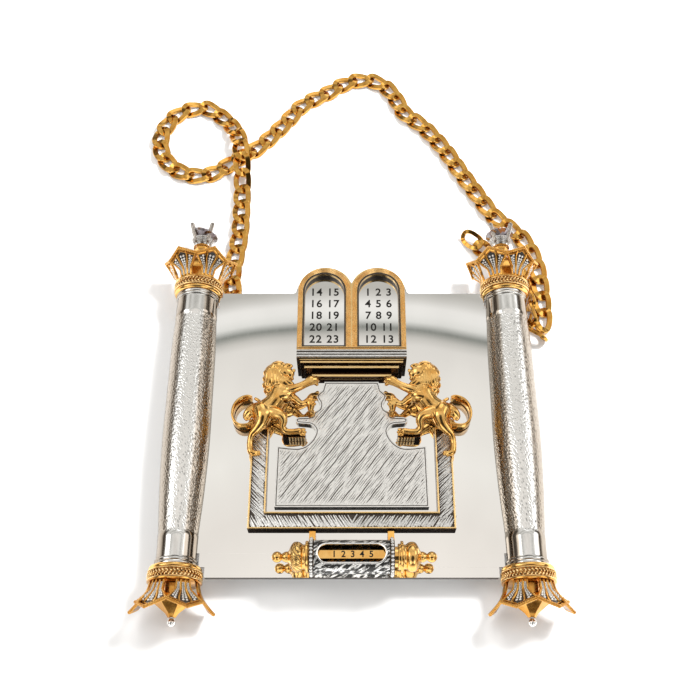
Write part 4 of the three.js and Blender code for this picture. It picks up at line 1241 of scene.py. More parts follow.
class SHIELD_OT_crowns(bpy.types.Operator):
    """Adds the petal crowns, the faceted cores, the prong cups and the stones"""

    bl_idname = "shield.crowns"
    bl_label = "Crowns and stones"

    def panel(self, crown, turn):
        """The bent sheet of a petal, with painted shade in dark gold at the back."""
        columns = 6
        grid = []
        for out in (-0.15, -1.25):
            for height in PETAL_ROWS:
                half = at_height(WIDTH, height)
                grid += [on_petal(lerp(-half, half, k / columns), height, out) for k in range(columns + 1)]
        faces, inner = slab_faces(len(PETAL_ROWS) - 1, columns)
        crown.add(grid, faces + inner, turn)
        crown.finishes[-len(inner):] = [DARK_GOLD] * len(inner)

    def inlay(self, crown, turn, low, high):
        """A tapering plate between two shares of the petal's width, cut off under the gable."""
        across, rows = 4, 10
        points = []
        for level in (0.1, -0.3):
            for i in range(rows + 1):
                for k in range(across + 1):
                    share = lerp(low, high, k / across)
                    points.append(share_point(share, lerp(3.0, gable_height(share, 1.9), i / rows), level))
        crown.add(points, slab_faces(rows, across)[0], turn)

    def beads(self, crown, turn, middle, reach):
        """Two rows of beads on an inlay, larger towards the gable."""
        for row in (-0.5, 0.5):
            share = middle + reach * row
            top = gable_height(share, 2.9)
            height = 2.2
            while height < top:
                half = at_height(WIDTH, min(height, SHOULDER_HEIGHT)) * reach * 0.5
                size = max(0.34, min(half * 0.98, 1.05))
                crown.ball(share_point(share, height, 0.2), size, 8, 5, place=turn)
                height += size * 1.75

    def petal(self, crown, turn):
        """One petal: a bent panel with roped gables, gold ribs and beaded silver inlays."""
        self.panel(crown, turn)
        crown.ball(on_petal(0, CROWN_HEIGHT - 0.2, -0.2), 1.15, 12, 8, place=turn)

        def rail(share, top, radius, out):
            line = [share_point(share, lerp(0.3, top, k / 10), out) for k in range(11)]
            crown.swept(line, ellipse_section(radius, radius, 8), place=turn)

        for sign in (-1, 1):
            rail(sign * OUTER_RIB, SHOULDER_HEIGHT, 0.75, 0.0)
            rail(sign * INNER_RIB, gable_height(INNER_RIB, 1.2), 0.85, 0.15)
            for k in range(7):
                spot = share_point(sign * EDGE_BEADS, lerp(6.6, SHOULDER_HEIGHT, k / 6), 0.3)
                crown.ball(spot, 0.75, 8, 6, place=turn)
            for radius, lower, spacing in GABLE_BEADS:
                count = int((SHOULDER - lower) / spacing)
                for k in range(count + 1):
                    x = sign * (SHOULDER - lower * 0.6) * k / count
                    y = CROWN_HEIGHT - lower - (CROWN_HEIGHT - SHOULDER_HEIGHT) * abs(x) / SHOULDER
                    crown.ball(on_petal(x, y, 0.0), radius, 8, 6, place=turn)
        for low, high in INLAYS:
            # The dark ground reaches a little past each inlay: partly enamelled, partly painted shadow round
            # the beads
            crown.finish = ENAMEL_AND_SHADOW
            self.inlay(crown, turn, low - 0.04, high + 0.04)
            crown.finish = SILVER
            self.beads(crown, turn, (low + high) / 2, (high - low) / 2)
        crown.finish = GOLD

    def crown(self, side, end):
        """The petals of a crown on their base ring."""
        crown = Form(column_end(side, end) @ Matrix.Translation((0, CROWN_START, 0)))
        crown.turned([
            (ROD_HOLE, -1.2), (17.0, -1.2), (17.4, -0.9), (17.4, -0.3), (17.0, 0), (ROD_HOLE, 0),
        ], 72, ring=True)
        back = 0 if end == "upper" else 180
        for turn in PETAL_TURNS:
            if end == "lower" and turn * SIGN[side] == -90:
                turn *= OUTER_PETAL
            self.petal(crown, Matrix.Rotation(math.radians(back + turn), 4, "Y"))
        finishes, nodes = "crown silver enamel dark_gold", [f"{side}_{end}_crown"]
        crown.piece(f"{side}_{end}_petal_crown", finishes, "gold_plate", nodes, crease=45)

    def core(self, side, end):
        """Six-sided core; the upper one has beads round its top."""
        stations = UPPER_CORE if end == "upper" else LOWER_CORE
        core = Form(column_end(side, end) @ Matrix.Translation((0, CORE_START, 0)))
        core.turned([(ROD_HOLE, 0), *stations, (ROD_HOLE, stations[-1][1])], 6, ring=True, start=math.pi / 6)
        if end == "upper":
            for turn in turns(26):
                core.ball(on_circle(5.9, 32.4, turn), 0.68, 8, 6)
        core.piece(f"{side}_{end}_faceted_core", "crown", "gold_plate", [f"{side}_{end}_core"], edge=0.3)

    def cup(self, side, place):
        """Beaded silver cup with its four prongs."""
        cup = Form(place)
        cup.turned(CUP_PROFILE, 48)
        for radius, height, bead, count, phase in CUP_BEADS:
            for turn in turns(count, phase):
                cup.ball(on_circle(radius, height, turn), bead, 8, 6)
        cup.finish = 1
        for turn in turns(4, 0.5):
            cup.limb([(*on_circle(radius, height, turn), thick) for radius, height, thick in PRONG], 12, 4)
        cup.piece(f"{side}_stone_cup", "antique prong", "polished_silver", [f"{side}_prong_cup"])

    def stone(self, side, place):
        """Crystal with flat facets, leaning a little in its prongs."""
        lean = Matrix.Rotation(math.radians(STONE_LEAN[side]), 4, "Z")
        seat = Matrix.Translation((0, 6, 0))
        stone = Form(place @ seat @ lean @ seat.inverted())
        hull = bmesh.new()
        for radius, height, count, phase in STONE_RINGS:
            for turn in turns(count, phase):
                hull.verts.new(on_circle(radius, height, turn))
        bmesh.ops.convex_hull(hull, input=hull.verts)
        hull.verts.ensure_lookup_table()
        hull.verts.index_update()
        stone.add([v.co.copy() for v in hull.verts], [[v.index for v in face.verts] for face in hull.faces])
        hull.free()
        gem = stone.piece(f"{side}_cut_stone", "stone", "crystal", [f"{side}_crystal"], crease=2)
        gem.data.polygons.foreach_set("use_smooth", [False] * len(gem.data.polygons))

    def execute(self, context):
        for side in SIDES:
            for end in ENDS:
                self.crown(side, end)
                self.core(side, end)
            height = CORE_START + UPPER_CORE[-1][1] + SEAT
            place = column_end(side, "upper") @ Matrix.Translation((0, height, 0))
            self.cup(side, place)
            self.stone(side, place)
        return {"FINISHED"}


# Tablets and cornice


ARCH_X, ARCH_Y = 18.85, 95.55
ARCH_RADIUS = 19.65
WINDOW_X, WINDOW_RADIUS, WINDOW_BOTTOM = 19.55, 15.35, 49.9
TABLET_BOTTOM = 43.4
TABLET_TOP = FRONT + 6.4
# Distance from the window and half width of each rib round it
ARCH_RIBS = ((0.4, 0.4), (1.15, 0.36), (1.9, 0.36), (2.65, 0.36), (3.4, 0.36))
# Height on the frame and half width of each rib under the windows
SILL_RIBS = (
    (WINDOW_BOTTOM - 0.7, 0.7), (WINDOW_BOTTOM - 2.3, 0.8), (WINDOW_BOTTOM - 4.1, 0.85),
    (TABLET_BOTTOM + 0.9, 0.85),
)
# Height of the first row, distance between the rows, and the font's size for a numeral's height
NUMERAL_TOP, NUMERAL_STEP, FONT_PER_HEIGHT = 97.2, 9.7, 1.36
NUMERAL_ROWS = {
    "right": ("1 2 3", "4 5 6", "7 8 9", "10 11", "12 13"),
    "left": ("14 15", "16 17", "18 19", "20 21", "22 23"),
}
BAND_HALF, BAND_LOW, BAND_HIGH, BAND_DEPTH = 38.1, 37.1, 43.1, 15.0
# Height on the frame and half width of the band's rods
BAND_RODS = ((BAND_HIGH - 0.6, 0.6), (BAND_HIGH - 2.9, 0.85), (BAND_LOW + 0.95, 0.9))
# Half width, height, lower edge and upper edge of the bright bar of each step of the cornice
STEPS = ((35.4, 12.4, 34.1, 35.9), (32.7, 9.6, 31.4, 33.6), (27.6, 5.2, 27.0, 28.7), (21.3, 2.2, 26.4, 26.9))


def arch_outline(x, radius, bottom):
    return [(x - radius, bottom), (x + radius, bottom), *arc(x, ARCH_Y, radius, 0, 180, 32)]


class SHIELD_OT_tablets(bpy.types.Operator):
    """Adds the arched frame, the two tablets with their numerals and the cornice"""

    bl_idname = "shield.tablets"
    bl_label = "Tablets"

    def arches(self):
        """Double arch with its windows, the ribs round them and the ribs below."""
        notch = math.degrees(math.acos(ARCH_X / ARCH_RADIUS))
        outer = [(-ARCH_X - ARCH_RADIUS, TABLET_BOTTOM), (ARCH_X + ARCH_RADIUS, TABLET_BOTTOM)]
        outer += arc(ARCH_X, ARCH_Y, ARCH_RADIUS, 0, 180 - notch, 36)
        outer += arc(-ARCH_X, ARCH_Y, ARCH_RADIUS, notch, 180, 36)[1:]
        holes = [arch_outline(sign * WINDOW_X, WINDOW_RADIUS, WINDOW_BOTTOM)[::-1] for sign in (-1, 1)]
        arches = Form()
        arches.prism([outer, *holes], FRONT, TABLET_TOP)
        for sign in (-1, 1):
            x = sign * WINDOW_X
            for offset, radius in ARCH_RIBS:
                ring = WINDOW_RADIUS + offset
                low = WINDOW_BOTTOM - offset if offset < 1 else WINDOW_BOTTOM - 2.0
                path = [(x - ring, low), *reversed(arc(x, ARCH_Y, ring, 0, 180, 36)), (x + ring, low)]
                self.rib(arches, path, radius, 0.45)
            self.liner(arches, x)
        for y, radius in SILL_RIBS:
            self.rib(arches, [(-38.3, y), (38.3, y)], radius, 0.8)
        # The arched frame is in the paler lit gold: painted light
        arches.piece("arched_frame", "bright dark", "gold_plate", ["tablet_frame"], edge=0.15)

    def rib(self, arches, path, radius, height):
        arches.swept([(x, y, TABLET_TOP) for x, y in path], ellipse_section(radius, height, 10), up=(0, 0, 1))

    def liner(self, arches, x):
        """Wall of a window: painted shadow near the tablet and gold above."""
        arches.finish = 1
        outer, inner = (
            arch_outline(x, radius, WINDOW_BOTTOM + WINDOW_RADIUS - radius)
            for radius in (WINDOW_RADIUS + 0.02, WINDOW_RADIUS - 1.1)
        )
        levels = (FRONT + 1.05, FRONT + 3.9, TABLET_TOP - 0.1)
        for low, high in zip(levels, levels[1:]):
            arches.prism([outer, list(reversed(inner))], low, high)
        walls = len(outer) + len(inner)
        arches.finishes[-walls:] = [0] * walls
        arches.finish = 0

    def numerals(self, side):
        """Plain running numbers in dull black."""
        for k, text in enumerate(NUMERAL_ROWS[side]):
            spot = Vector((SIGN[side] * WINDOW_X, NUMERAL_TOP - k * NUMERAL_STEP, FRONT + 1.04))
            size = sizes().numeral_height * FONT_PER_HEIGHT
            place = Matrix.Translation(ORIGIN + spot * MM)
            name = f"{side}_numbers_{k}"
            lettering(name, text, size, 0.05 * MM, 0.00017, 1.12, place, "satin_silver", "shield")

    def band(self):
        """Bar painted dark as shade between three bright rods."""
        band = Form()
        top = FRONT + BAND_DEPTH
        band.finish = 1
        band.block((-BAND_HALF, BAND_LOW, FRONT), (BAND_HALF, BAND_HIGH, top - 0.6))
        band.finish = 0
        for y, radius in BAND_RODS:
            section = ellipse_section(radius, 0.9, 12)
            band.swept([(x, y, top - 0.5) for x in (-BAND_HALF, BAND_HALF)], section, up=(0, 0, 1))
        band.piece("ribbed_band", "silver dark", "satin_silver", ["cornice_band"], edge=0.2)

    def cornice(self):
        """Stepped block in painted shadow, with a bar of paler lit gold along each step."""
        tiers = Form()
        y = 36.8
        for half, depth, low, bar in STEPS:
            tiers.finish = 1
            tiers.block((-half, low, FRONT), (half, y, FRONT + depth - 0.3))
            tiers.finish = 0
            tiers.block((-half, low + 0.1, FRONT + depth - 0.3), (half, bar, FRONT + depth))
            y = low + 0.02
        tiers.block((-35.9, 35.9, FRONT + 13.2), (35.9, 36.5, FRONT + 13.6))
        tiers.piece("gold_cornice", "bright shadow_gold", "gold_plate", ["cornice"], edge=0.12)

    def execute(self, context):
        self.arches()
        for side in SIDES:
            outline = arch_outline(SIGN[side] * WINDOW_X, WINDOW_RADIUS - SEAT, WINDOW_BOTTOM + SEAT)
            tablet = Form()
            tablet.prism([outline], FRONT, FRONT + 1)
            tablet.piece(f"{side}_tablet", "mirror", "satin_silver", [f"{side}_tablet_plate"], edge=0.1)
            self.numerals(side)
        self.band()
        self.cornice()
        return {"FINISHED"}


# Field, frame and lions


FRAME_TOP = PLATE_FRONT + 5.15
FRAME_RIM = 1.2
FIELD_HALF, FIELD_TOP, FIELD_BOTTOM = 50.5, 24.0, -66.2
LION_HEIGHT = 66.0
LION_X, LION_Y = 64.0, -30.0
# The field's edge right of its middle: share of its half width, and drop in lion's heights
FIELD_EDGE = (
    (0.99, 0.724), (0.836, 0.738), (0.7, 0.741), (0.602, 0.711), (0.519, 0.642), (0.48, 0.562),
    (0.505, 0.51), (0.566, 0.481), (0.73, 0.465), (0.735, 0.41), (0.54, 0.396), (0.507, 0.349),
    (0.44, 0.307), (0.426, 0.249), (0.465, 0.191), (0.47, 0.15), (0.4, 0.096), (0.37, 0),
)


def inset_outline(outline, distance):
    """Moves every side of a closed outline inwards."""
    count = len(outline)
    area = sum(a[0] * b[1] - b[0] * a[1] for a, b in zip(outline, outline[1:] + outline[:1]))
    sense = 1 if area > 0 else -1
    moved = []
    for i in range(count):
        before, point, after = (Vector(outline[(i + k) % count]) for k in (-1, 0, 1))
        first, second = (point - before).normalized(), (after - point).normalized()
        normal_a = Vector((-first.y, first.x)) * sense
        normal_b = Vector((-second.y, second.x)) * sense
        middle = (normal_a + normal_b).normalized()
        reach = distance / max(middle.dot(normal_a), 0.45)
        moved.append(tuple(point + middle * reach))
    return moved


def is_inside(outline, point):
    inside = False
    for a, b in zip(outline, outline[1:] + outline[:1]):
        if (a[1] > point.y) != (b[1] > point.y):
            if point.x < (b[0] - a[0]) * (point.y - a[1]) / (b[1] - a[1]) + a[0]:
                inside = not inside
    return inside


# Strokes of the field: direction in degrees, distance between rows, and how far the rows reach
STROKE_LEAN, STROKE_PITCH, STROKE_SPREAD, STROKE_SPAN = 53, 1.35, 78.0, 75.0
# Every fifth row has long, broad strokes: half widths, and ranges of lengths and of gaps
LONG_STROKE = (0.35, (40, 90), (0.4, 1.4))
SHORT_STROKE = (0.17, (8.0, 24.0), (1.0, 5.0))
INFILL_HALF = 66.0
# Directions of the infill's ridges in degrees: left and right half of the bottom, and the sides
BOTTOM_LEANS = (124, 56)
SIDE_LEANS = {-1: 137, 1: 43}


class SHIELD_OT_field(bpy.types.Operator):
    """Adds the U-shaped frame, its hatched silver and the grooved field plate"""

    bl_idname = "shield.field"
    bl_label = "Field and frame"

    def bar(self, inset):
        """Outline of the U, moved inwards."""
        outer, inner = 67.3 - inset, 55.9 + inset
        top, low, floor = -11.0 - inset, -69.8 - inset, -81.2 + inset
        return [
            (-outer, floor), (outer, floor), (outer, top), (inner, top), (inner, low), (-inner, low),
            (-inner, top), (-outer, top),
        ]

    def u_frame(self):
        """Channel painted dark as shadow, with a rim of paler lit gold."""
        bar = Form()
        bar.finish = 1
        bar.prism([self.bar(0), list(reversed(self.bar(FRAME_RIM)))], FRONT, FRAME_TOP - 0.35)
        bar.prism([self.bar(0.3)], FRONT, FRONT + 2.2)
        bar.finish = 0
        path = [(x, y, FRAME_TOP - 0.4) for x, y in self.bar(FRAME_RIM / 2)]
        for a, b in zip(path, path[1:] + path[:1]):
            bar.swept([a, b], ellipse_section(0.58, 0.38, 10), up=(0, 0, 1))
            bar.ball(a, 0.58, 10, 6, (1, 1, 0.65))
        bar.piece("gold_bar", "bright shadow_gold", "gold_plate", ["u_frame"], edge=0.1)

    def infill(self):
        """Strip painted dark as shade, with bright silver cuts on it that lean the same way and turn over at
        the middle.
        """
        strip = Form()
        low, high = FRONT + 2.5, FRAME_TOP - 1.25
        # Under the bright ridges the strip is dark: painted shade between the cuts
        strip.prism([self.bar(1.5)], low, high)
        draw = random.Random(7)
        pitch = sizes().hatch_pitch / MM

        def cut(x, y, lean, length, wide):
            """One ridge, broad at the outer rim and narrow at the inner rim."""
            half = Vector((math.cos(lean), math.sin(lean))) * (length / 2)
            across = Vector((-half.y, half.x)).normalized()
            rise = draw.uniform(0.12, 0.3)
            tilt = draw.uniform(-0.5, 0.5)
            points = []
            for end, reach in ((-1, wide), (1, wide * draw.uniform(0.2, 0.5))):
                base = Vector((x, y)) + half * end
                ridge = base + across * (reach * tilt) - half * (end * 0.05)
                foot = [(*(base + across * side), high - 0.05) for side in (-reach, reach)]
                points += [*foot, (*ridge, high + rise)]
            strip.add(points, [[0, 1, 2], [3, 5, 4], [0, 3, 4, 1], [1, 4, 5, 2], [2, 5, 3, 0]])

        strip.finish = 1
        x = -INFILL_HALF
        while x < INFILL_HALF:
            lean = math.radians(BOTTOM_LEANS[x >= 0]) + draw.uniform(-0.1, 0.1)
            length = 8.0 + draw.random() * 2.2
            spot = (x + draw.uniform(-0.3, 0.3), -75.7 + draw.uniform(-0.5, 0.1))
            cut(*spot, lean, length, pitch * draw.uniform(0.75, 1.0))
            x += pitch * 1.5
        y = -72.0
        while y < -13.0:
            for side in (-1, 1):
                lean = math.radians(SIDE_LEANS[side]) + draw.uniform(-0.1, 0.1)
                length = 11.6 + draw.random() * 2.4
                spot = side * 61.8 + draw.uniform(-0.4, 0.4)
                flip = math.pi if side > 0 else 0.0
                cut(spot, y + draw.uniform(-0.3, 0.3), lean + flip, length, pitch * draw.uniform(0.6, 0.85))
            y += pitch * 1.25
        strip.piece("hatched_strip", "dark hatched", "satin_silver", ["frame_infill"], crease=20)

    def strokes(self, field, edge):
        """Strokes painted dark as the shade of engraved cuts; they run up to the right, some long and most
        short.
        """
        field.finish = 2
        draw = random.Random(11)
        lean = math.radians(STROKE_LEAN)
        along = Vector((math.cos(lean), math.sin(lean)))
        across = Vector((-along.y, along.x))
        middle = Vector((0, -25))
        inner = inset_outline(edge, 0.6)
        offset, row = -STROKE_SPREAD, 0
        while offset < STROKE_SPREAD:
            half, lengths, gaps = SHORT_STROKE if row % 5 else LONG_STROKE
            reach = -STROKE_SPAN + draw.uniform(0, 8)
            while reach < STROKE_SPAN:
                length = draw.uniform(*lengths)
                start = middle + across * (offset + draw.uniform(-0.2, 0.2)) + along * reach
                self.stroke(field, inner, start, along, across, length, half)
                reach += length + draw.uniform(*gaps)
            offset += STROKE_PITCH
            row += 1

    def stroke(self, field, edge, start, along, across, length, half):
        """One tapered stroke, cut short where it leaves the field."""
        steps = max(int(length), 2)
        spots = [start + along * (length * k / steps) for k in range(steps + 1)]
        inside = [is_inside(edge, spot) for spot in spots]
        if not any(inside):
            return
        first = inside.index(True)
        last = first
        while last < steps and inside[last + 1]:
            last += 1
        if last - first < 1:
            return
        low, high = FRONT + 2.8, FRONT + 2.93
        a, b = spots[first], spots[last]
        count = max(int((b - a).length / 4), 2)
        wave = [a + (b - a) * (k / count) + across * (0.2 * math.sin(k * 1.9 + a.x)) for k in range(1, count)]
        near, far = ([spot + across * (half * side) for spot in wave] for side in (-1, 1))
        outline = [a, *near, b, *reversed(far)]
        field.prism([[tuple(point) for point in outline]], low, high)

    def field(self):
        """Engraved plate with a raised border and a groove inside it, painted dark as shade."""
        edge = [(x * FIELD_HALF, FIELD_TOP - y * LION_HEIGHT) for x, y in FIELD_EDGE]
        right = [(FIELD_HALF, FIELD_BOTTOM), *edge]
        bites = [p + (0,) for p in right[2:-1]]
        smooth = [(x, y) for x, y, _ in smooth_line(bites, 4)]
        right = right[:2] + smooth + right[-1:]
        outline = right + [(-x, y) for x, y in reversed(right)]
        field = Form()
        field.prism([outline], FRONT, FRONT + 2.35)
        border = inset_outline(outline, 0.75)
        field.prism([outline, list(reversed(border))], FRONT + 2.2, FRONT + 3.0)
        groove = inset_outline(outline, 1.3)
        field.finish = 2
        field.prism([border, list(reversed(groove))], FRONT + 2.2, FRONT + 2.4)
        field.finish = 1
        field.prism([groove], FRONT + 2.2, FRONT + 2.85)
        self.strokes(field, groove)
        field.piece("grooved_field", "silver field dark", "satin_silver", ["field_plate"], edge=0.1)

    def execute(self, context):
        self.u_frame()
        self.infill()
        self.field()
        return {"FINISHED"}


# Locks of the mane in front, from the brow to the beard: start and end
FRONT_LOCKS = (
    (0.3, 0.79, 0.36, 0.685), (0.275, 0.8, 0.325, 0.66), (0.25, 0.83, 0.285, 0.65),
    (0.235, 0.88, 0.245, 0.65), (0.22, 0.92, 0.205, 0.66), (0.195, 0.935, 0.165, 0.66),
    (0.165, 0.935, 0.13, 0.68), (0.135, 0.91, 0.11, 0.7),
)
# Locks behind, which curl outwards: place and direction in degrees
BACK_LOCKS = (
    (0.085, 0.86, 170), (0.078, 0.79, 185), (0.078, 0.72, 190), (0.095, 0.655, 205), (0.125, 0.61, 235),
)
LOCK_REACH = 0.03
# Toes: place and, on the forepaws, their turn
FORE_TOES = (
    (0.6, 0.8, 0.7), (0.612, 0.765, 0.1), (0.605, 0.73, -0.5), (0.556, 0.578, 1.0), (0.578, 0.545, 0.2),
    (0.582, 0.505, -0.1),
)
HIND_TOES = ((0.475, 0.24), (0.485, 0.21), (0.475, 0.18), (0.025, -0.005), (0.03, -0.03))
# Millimetres of the grid on which a lion's parts melt together
SKIN_GRAIN = 0.42
TAIL_COURSE = (
    (-0.062, 0.31), (-0.12, 0.295), (-0.18, 0.3), (-0.225, 0.335), (-0.25, 0.39), (-0.255, 0.45),
    (-0.238, 0.52), (-0.2, 0.575), (-0.15, 0.607), (-0.1, 0.617), (-0.062, 0.605),
)
RIB_SPACING = 1.95


class Lion(Form):
    """Right-facing lion in shares of its height; its back is flat and its hind foot is the origin."""

    def part(self, stations, sides=16):
        self.limb([tuple(share * LION_HEIGHT for share in station) for station in stations], sides, 6)

    def lump(self, x, y, z, radius, stretch=(1, 1, 1), turn=0.0):
        h = LION_HEIGHT
        self.ball((x * h, y * h, z * h), radius * h, 20, 14, stretch, turn=Matrix.Rotation(turn, 4, "Z"))

    def body(self):
        """Body, chest, head and face."""
        self.part([
            (0.03, 0.41, 0.05, 0.085), (0.08, 0.46, 0.06, 0.1), (0.15, 0.51, 0.07, 0.1),
            (0.2, 0.57, 0.08, 0.105), (0.23, 0.64, 0.085, 0.11),
        ], 20)
        self.lump(0.27, 0.585, 0.1, 0.1, (1.1, 0.72, 0.9), 0.15)
        self.lump(0.17, 0.79, 0.06, 0.13, (0.84, 1.35, 0.8))
        self.lump(0.205, 0.895, 0.08, 0.105)
        self.lump(0.3, 0.77, 0.11, 0.05, (0.9, 1.5, 0.9), -0.2)
        self.lump(0.275, 0.865, 0.115, 0.078, (1, 1.12, 0.9))
        self.lump(0.335, 0.835, 0.125, 0.043, (1, 1.15, 0.9))
        self.lump(0.372, 0.872, 0.13, 0.017, (1, 1.2, 1))
        self.lump(0.318, 0.922, 0.15, 0.032, (1.5, 0.6, 0.8), -0.3)
        self.lump(0.33, 0.878, 0.165, 0.014)
        self.lump(0.34, 0.785, 0.12, 0.034, (1, 0.7, 0.9), -0.3)
        self.lump(0.165, 0.93, 0.14, 0.03, (0.8, 1.2, 0.6), 0.4)
        self.lump(0.165, 0.85, 0.07, 0.125, (0.92, 1.0, 0.8))
        self.lump(0.145, 0.72, 0.07, 0.1, (0.85, 1.25, 0.8))

    def mane(self):
        for x0, y0, x1, y1 in FRONT_LOCKS:
            x, y = (x0 + x1) / 2 - 0.022, (y0 + y1) / 2
            self.part([
                (x0, y0, 0.15, 0.018), (lerp(x0, x, 0.6), lerp(y0, y, 0.5), 0.168, 0.024),
                (x, y, 0.165, 0.026), (x1 - 0.004, lerp(y, y1, 0.6), 0.15, 0.024),
                (x1 + 0.008, y1, 0.125, 0.01),
            ], 10)
        near, far = LOCK_REACH * 0.2, LOCK_REACH * 0.3
        for x, y, turn in BACK_LOCKS:
            a, b = math.radians(turn), math.radians(turn + 75)
            self.part([
                (x + 0.05, y + 0.02, 0.12, 0.024), (x + 0.015, y, 0.125, 0.03),
                (x + near * math.cos(a), y + near * math.sin(a), 0.1, 0.03),
                (x + far * math.cos(b), y + far * math.sin(b), 0.08, 0.028),
            ], 10)

    def forelegs(self):
        """One holds the cornice, the other rests on the field."""
        self.part([
            (0.27, 0.655, 0.1, 0.065), (0.35, 0.65, 0.14, 0.052), (0.43, 0.675, 0.15, 0.043),
            (0.5, 0.715, 0.145, 0.041), (0.55, 0.755, 0.13, 0.052), (0.585, 0.765, 0.12, 0.046),
        ])
        self.part([
            (0.32, 0.6, 0.09, 0.055), (0.39, 0.56, 0.1, 0.04), (0.445, 0.515, 0.095, 0.032),
            (0.49, 0.52, 0.09, 0.03), (0.53, 0.545, 0.085, 0.04), (0.55, 0.5, 0.08, 0.042),
            (0.55, 0.46, 0.07, 0.032),
        ])
        for x, y, turn in FORE_TOES:
            self.lump(x, y, 0.1, 0.022, (1.2, 0.85, 1.1), turn)

    def hind_legs(self):
        """One stands on the frame, the other on its block."""
        self.part([
            (0.05, 0.44, 0.08, 0.1), (0.07, 0.375, 0.1, 0.09), (0.055, 0.3, 0.095, 0.068),
            (0.01, 0.235, 0.08, 0.05), (-0.04, 0.18, 0.065, 0.036), (-0.055, 0.12, 0.05, 0.032),
            (-0.055, 0.06, 0.045, 0.033), (-0.04, 0.0, 0.045, 0.035), (0.005, -0.015, 0.04, 0.031),
        ], 18)
        self.part([
            (0.11, 0.43, 0.08, 0.08), (0.18, 0.4, 0.11, 0.068), (0.25, 0.365, 0.125, 0.058),
            (0.28, 0.31, 0.12, 0.042), (0.272, 0.25, 0.1, 0.033), (0.3, 0.21, 0.085, 0.033),
            (0.37, 0.205, 0.08, 0.031), (0.44, 0.215, 0.08, 0.032),
        ], 18)
        for x, y in HIND_TOES:
            self.lump(x, y, 0.06, 0.02, (1.6, 0.75, 1))

    def tuft(self):
        """Tuft of the tail."""
        self.part([
            (-0.02, 0.585, 0.05, 0.018), (0.03, 0.535, 0.07, 0.02), (-0.03, 0.485, 0.08, 0.034),
            (-0.085, 0.43, 0.08, 0.04), (-0.115, 0.38, 0.07, 0.028), (-0.105, 0.345, 0.06, 0.014),
        ], 12)
        self.part([(-0.02, 0.46, 0.05, 0.02), (-0.06, 0.4, 0.07, 0.03), (-0.075, 0.35, 0.06, 0.014)], 12)


class SHIELD_OT_lions(bpy.types.Operator):
    """Adds the two rampant lions"""

    bl_idname = "shield.lions"
    bl_label = "Lions"

    def figure(self, side):
        """The cast lion, its parts melted into one skin and cut flat at the back."""
        lion = Lion()
        lion.body()
        lion.mane()
        lion.forelegs()
        lion.hind_legs()
        lion.tuft()
        shift = Matrix.Translation((-LION_X, LION_Y, FRAME_TOP + SEAT))
        flip = Matrix.Diagonal((-SIGN[side], 1, 1, 1))
        lion.points = [flip @ shift @ point for point in lion.points]
        thing = added(f"{side}_lion_figure", lion.mesh(f"{side}_lion_figure"))
        skin = thing.modifiers.new("Skin", "REMESH")
        skin.mode = "VOXEL"
        skin.voxel_size = SKIN_GRAIN * MM
        relax = thing.modifiers.new("Relax", "SMOOTH")
        relax.factor = 0.5
        relax.iterations = 3
        settle(thing)
        cutter = Form()
        cutter.block((-130, -60, -30), (130, 60, FRAME_TOP + SEAT))
        carve(thing, cutter)
        dressed(thing, "cast", "gold_plate", [f"{side}_lion"], crease=60)

    def paw_block(self, side):
        """Block painted dark as shadow, with ribs of paler lit gold, under the raised hind paw."""
        block = Form()
        x0, x1 = sorted(SIGN[side] * (LION_X - share * LION_HEIGHT) for share in (0.5, 0.27))
        y0, y1 = LION_Y + 0.172 * LION_HEIGHT, LION_Y + 0.235 * LION_HEIGHT
        block.block((x0, y0, FRONT), (x1, y1, FRAME_TOP + 2.2))
        block.finish = 1
        inner = x1 - 0.8 if side == "left" else x0 + 0.8
        for k in range(6):
            x = inner + SIGN[side] * RIB_SPACING * k
            line = [(x, y0 - 0.15, FRONT + 0.3), (x, y0 - 0.15, FRAME_TOP + 1.6)]
            block.swept(line, ellipse_section(0.8, 0.6, 8))
        block.piece(f"{side}_paw_block", "shadow_gold bright", "gold_plate", edge=0.2)

    def tail(self, side):
        """The tail's open ring, a deep strap that stands on the plate."""
        ring = Form()
        course = [(LION_X - x * LION_HEIGHT, LION_Y + y * LION_HEIGHT) for x, y in TAIL_COURSE]
        line = smooth_line([(SIGN[side] * x, y) for x, y in course], 4)
        low, high = FRONT + 1.2, FRAME_TOP + 4.6
        middle, half = (low + high) / 2, (high - low) / 2
        top = half - 0.4
        strap = [(0.75, -half), (0.75, top), (0.4, half), (-0.4, half), (-0.75, top), (-0.75, -half)]
        ring.swept([(x, y, middle) for x, y in line], strap, up=(0, 0, 1))
        ring.piece(f"{side}_tail_ring", "cast", "gold_plate", crease=50)

    def execute(self, context):
        for side in SIDES:
            self.figure(side)
            self.paw_block(side)
            self.tail(side)
        return {"FINISHED"}


# Scroll holder


SCROLL_Y, SCROLL_Z = -102.1, PLATE_FRONT + 13.7
TUBE_RADIUS, TUBE_BORE, TUBE_HALF = 10.5, 9.3, 23.5
DRUM_SHIFT = 1.65
WINDOW_HALF, WINDOW_ROUND = 21.1, 5.55
# Where a knob's sleeve starts along the drum's axis
KNOB_START = {"left": 23.65, "right": 21.55}
# Radius and height of a knob's flanges, of its bulb and of the ball at its tip
KNOB_FLANGES = [
    (6.5, 27.15), (8.0, 27.15), (8.2, 27.4), (8.2, 28.75), (9.7, 28.75), (9.9, 29.0), (9.9, 30.2),
    (9.6, 30.5), (8.1, 30.6), (7.7, 31.2), (7.7, 32.0), (8.0, 32.5),
]
KNOB_BULB = [
    (8.0, 32.5), (9.0, 33.9), (9.45, 35.9), (9.0, 38.0), (7.0, 39.7), (4.4, 40.9), (3.4, 41.8), (3.3, 43.0),
    (2.5, 44.6), (1.9, 45.4),
]
TIP_RADIUS, TIP_MIDDLE, TIP_NECK = 3.43, 48.3, 1.9
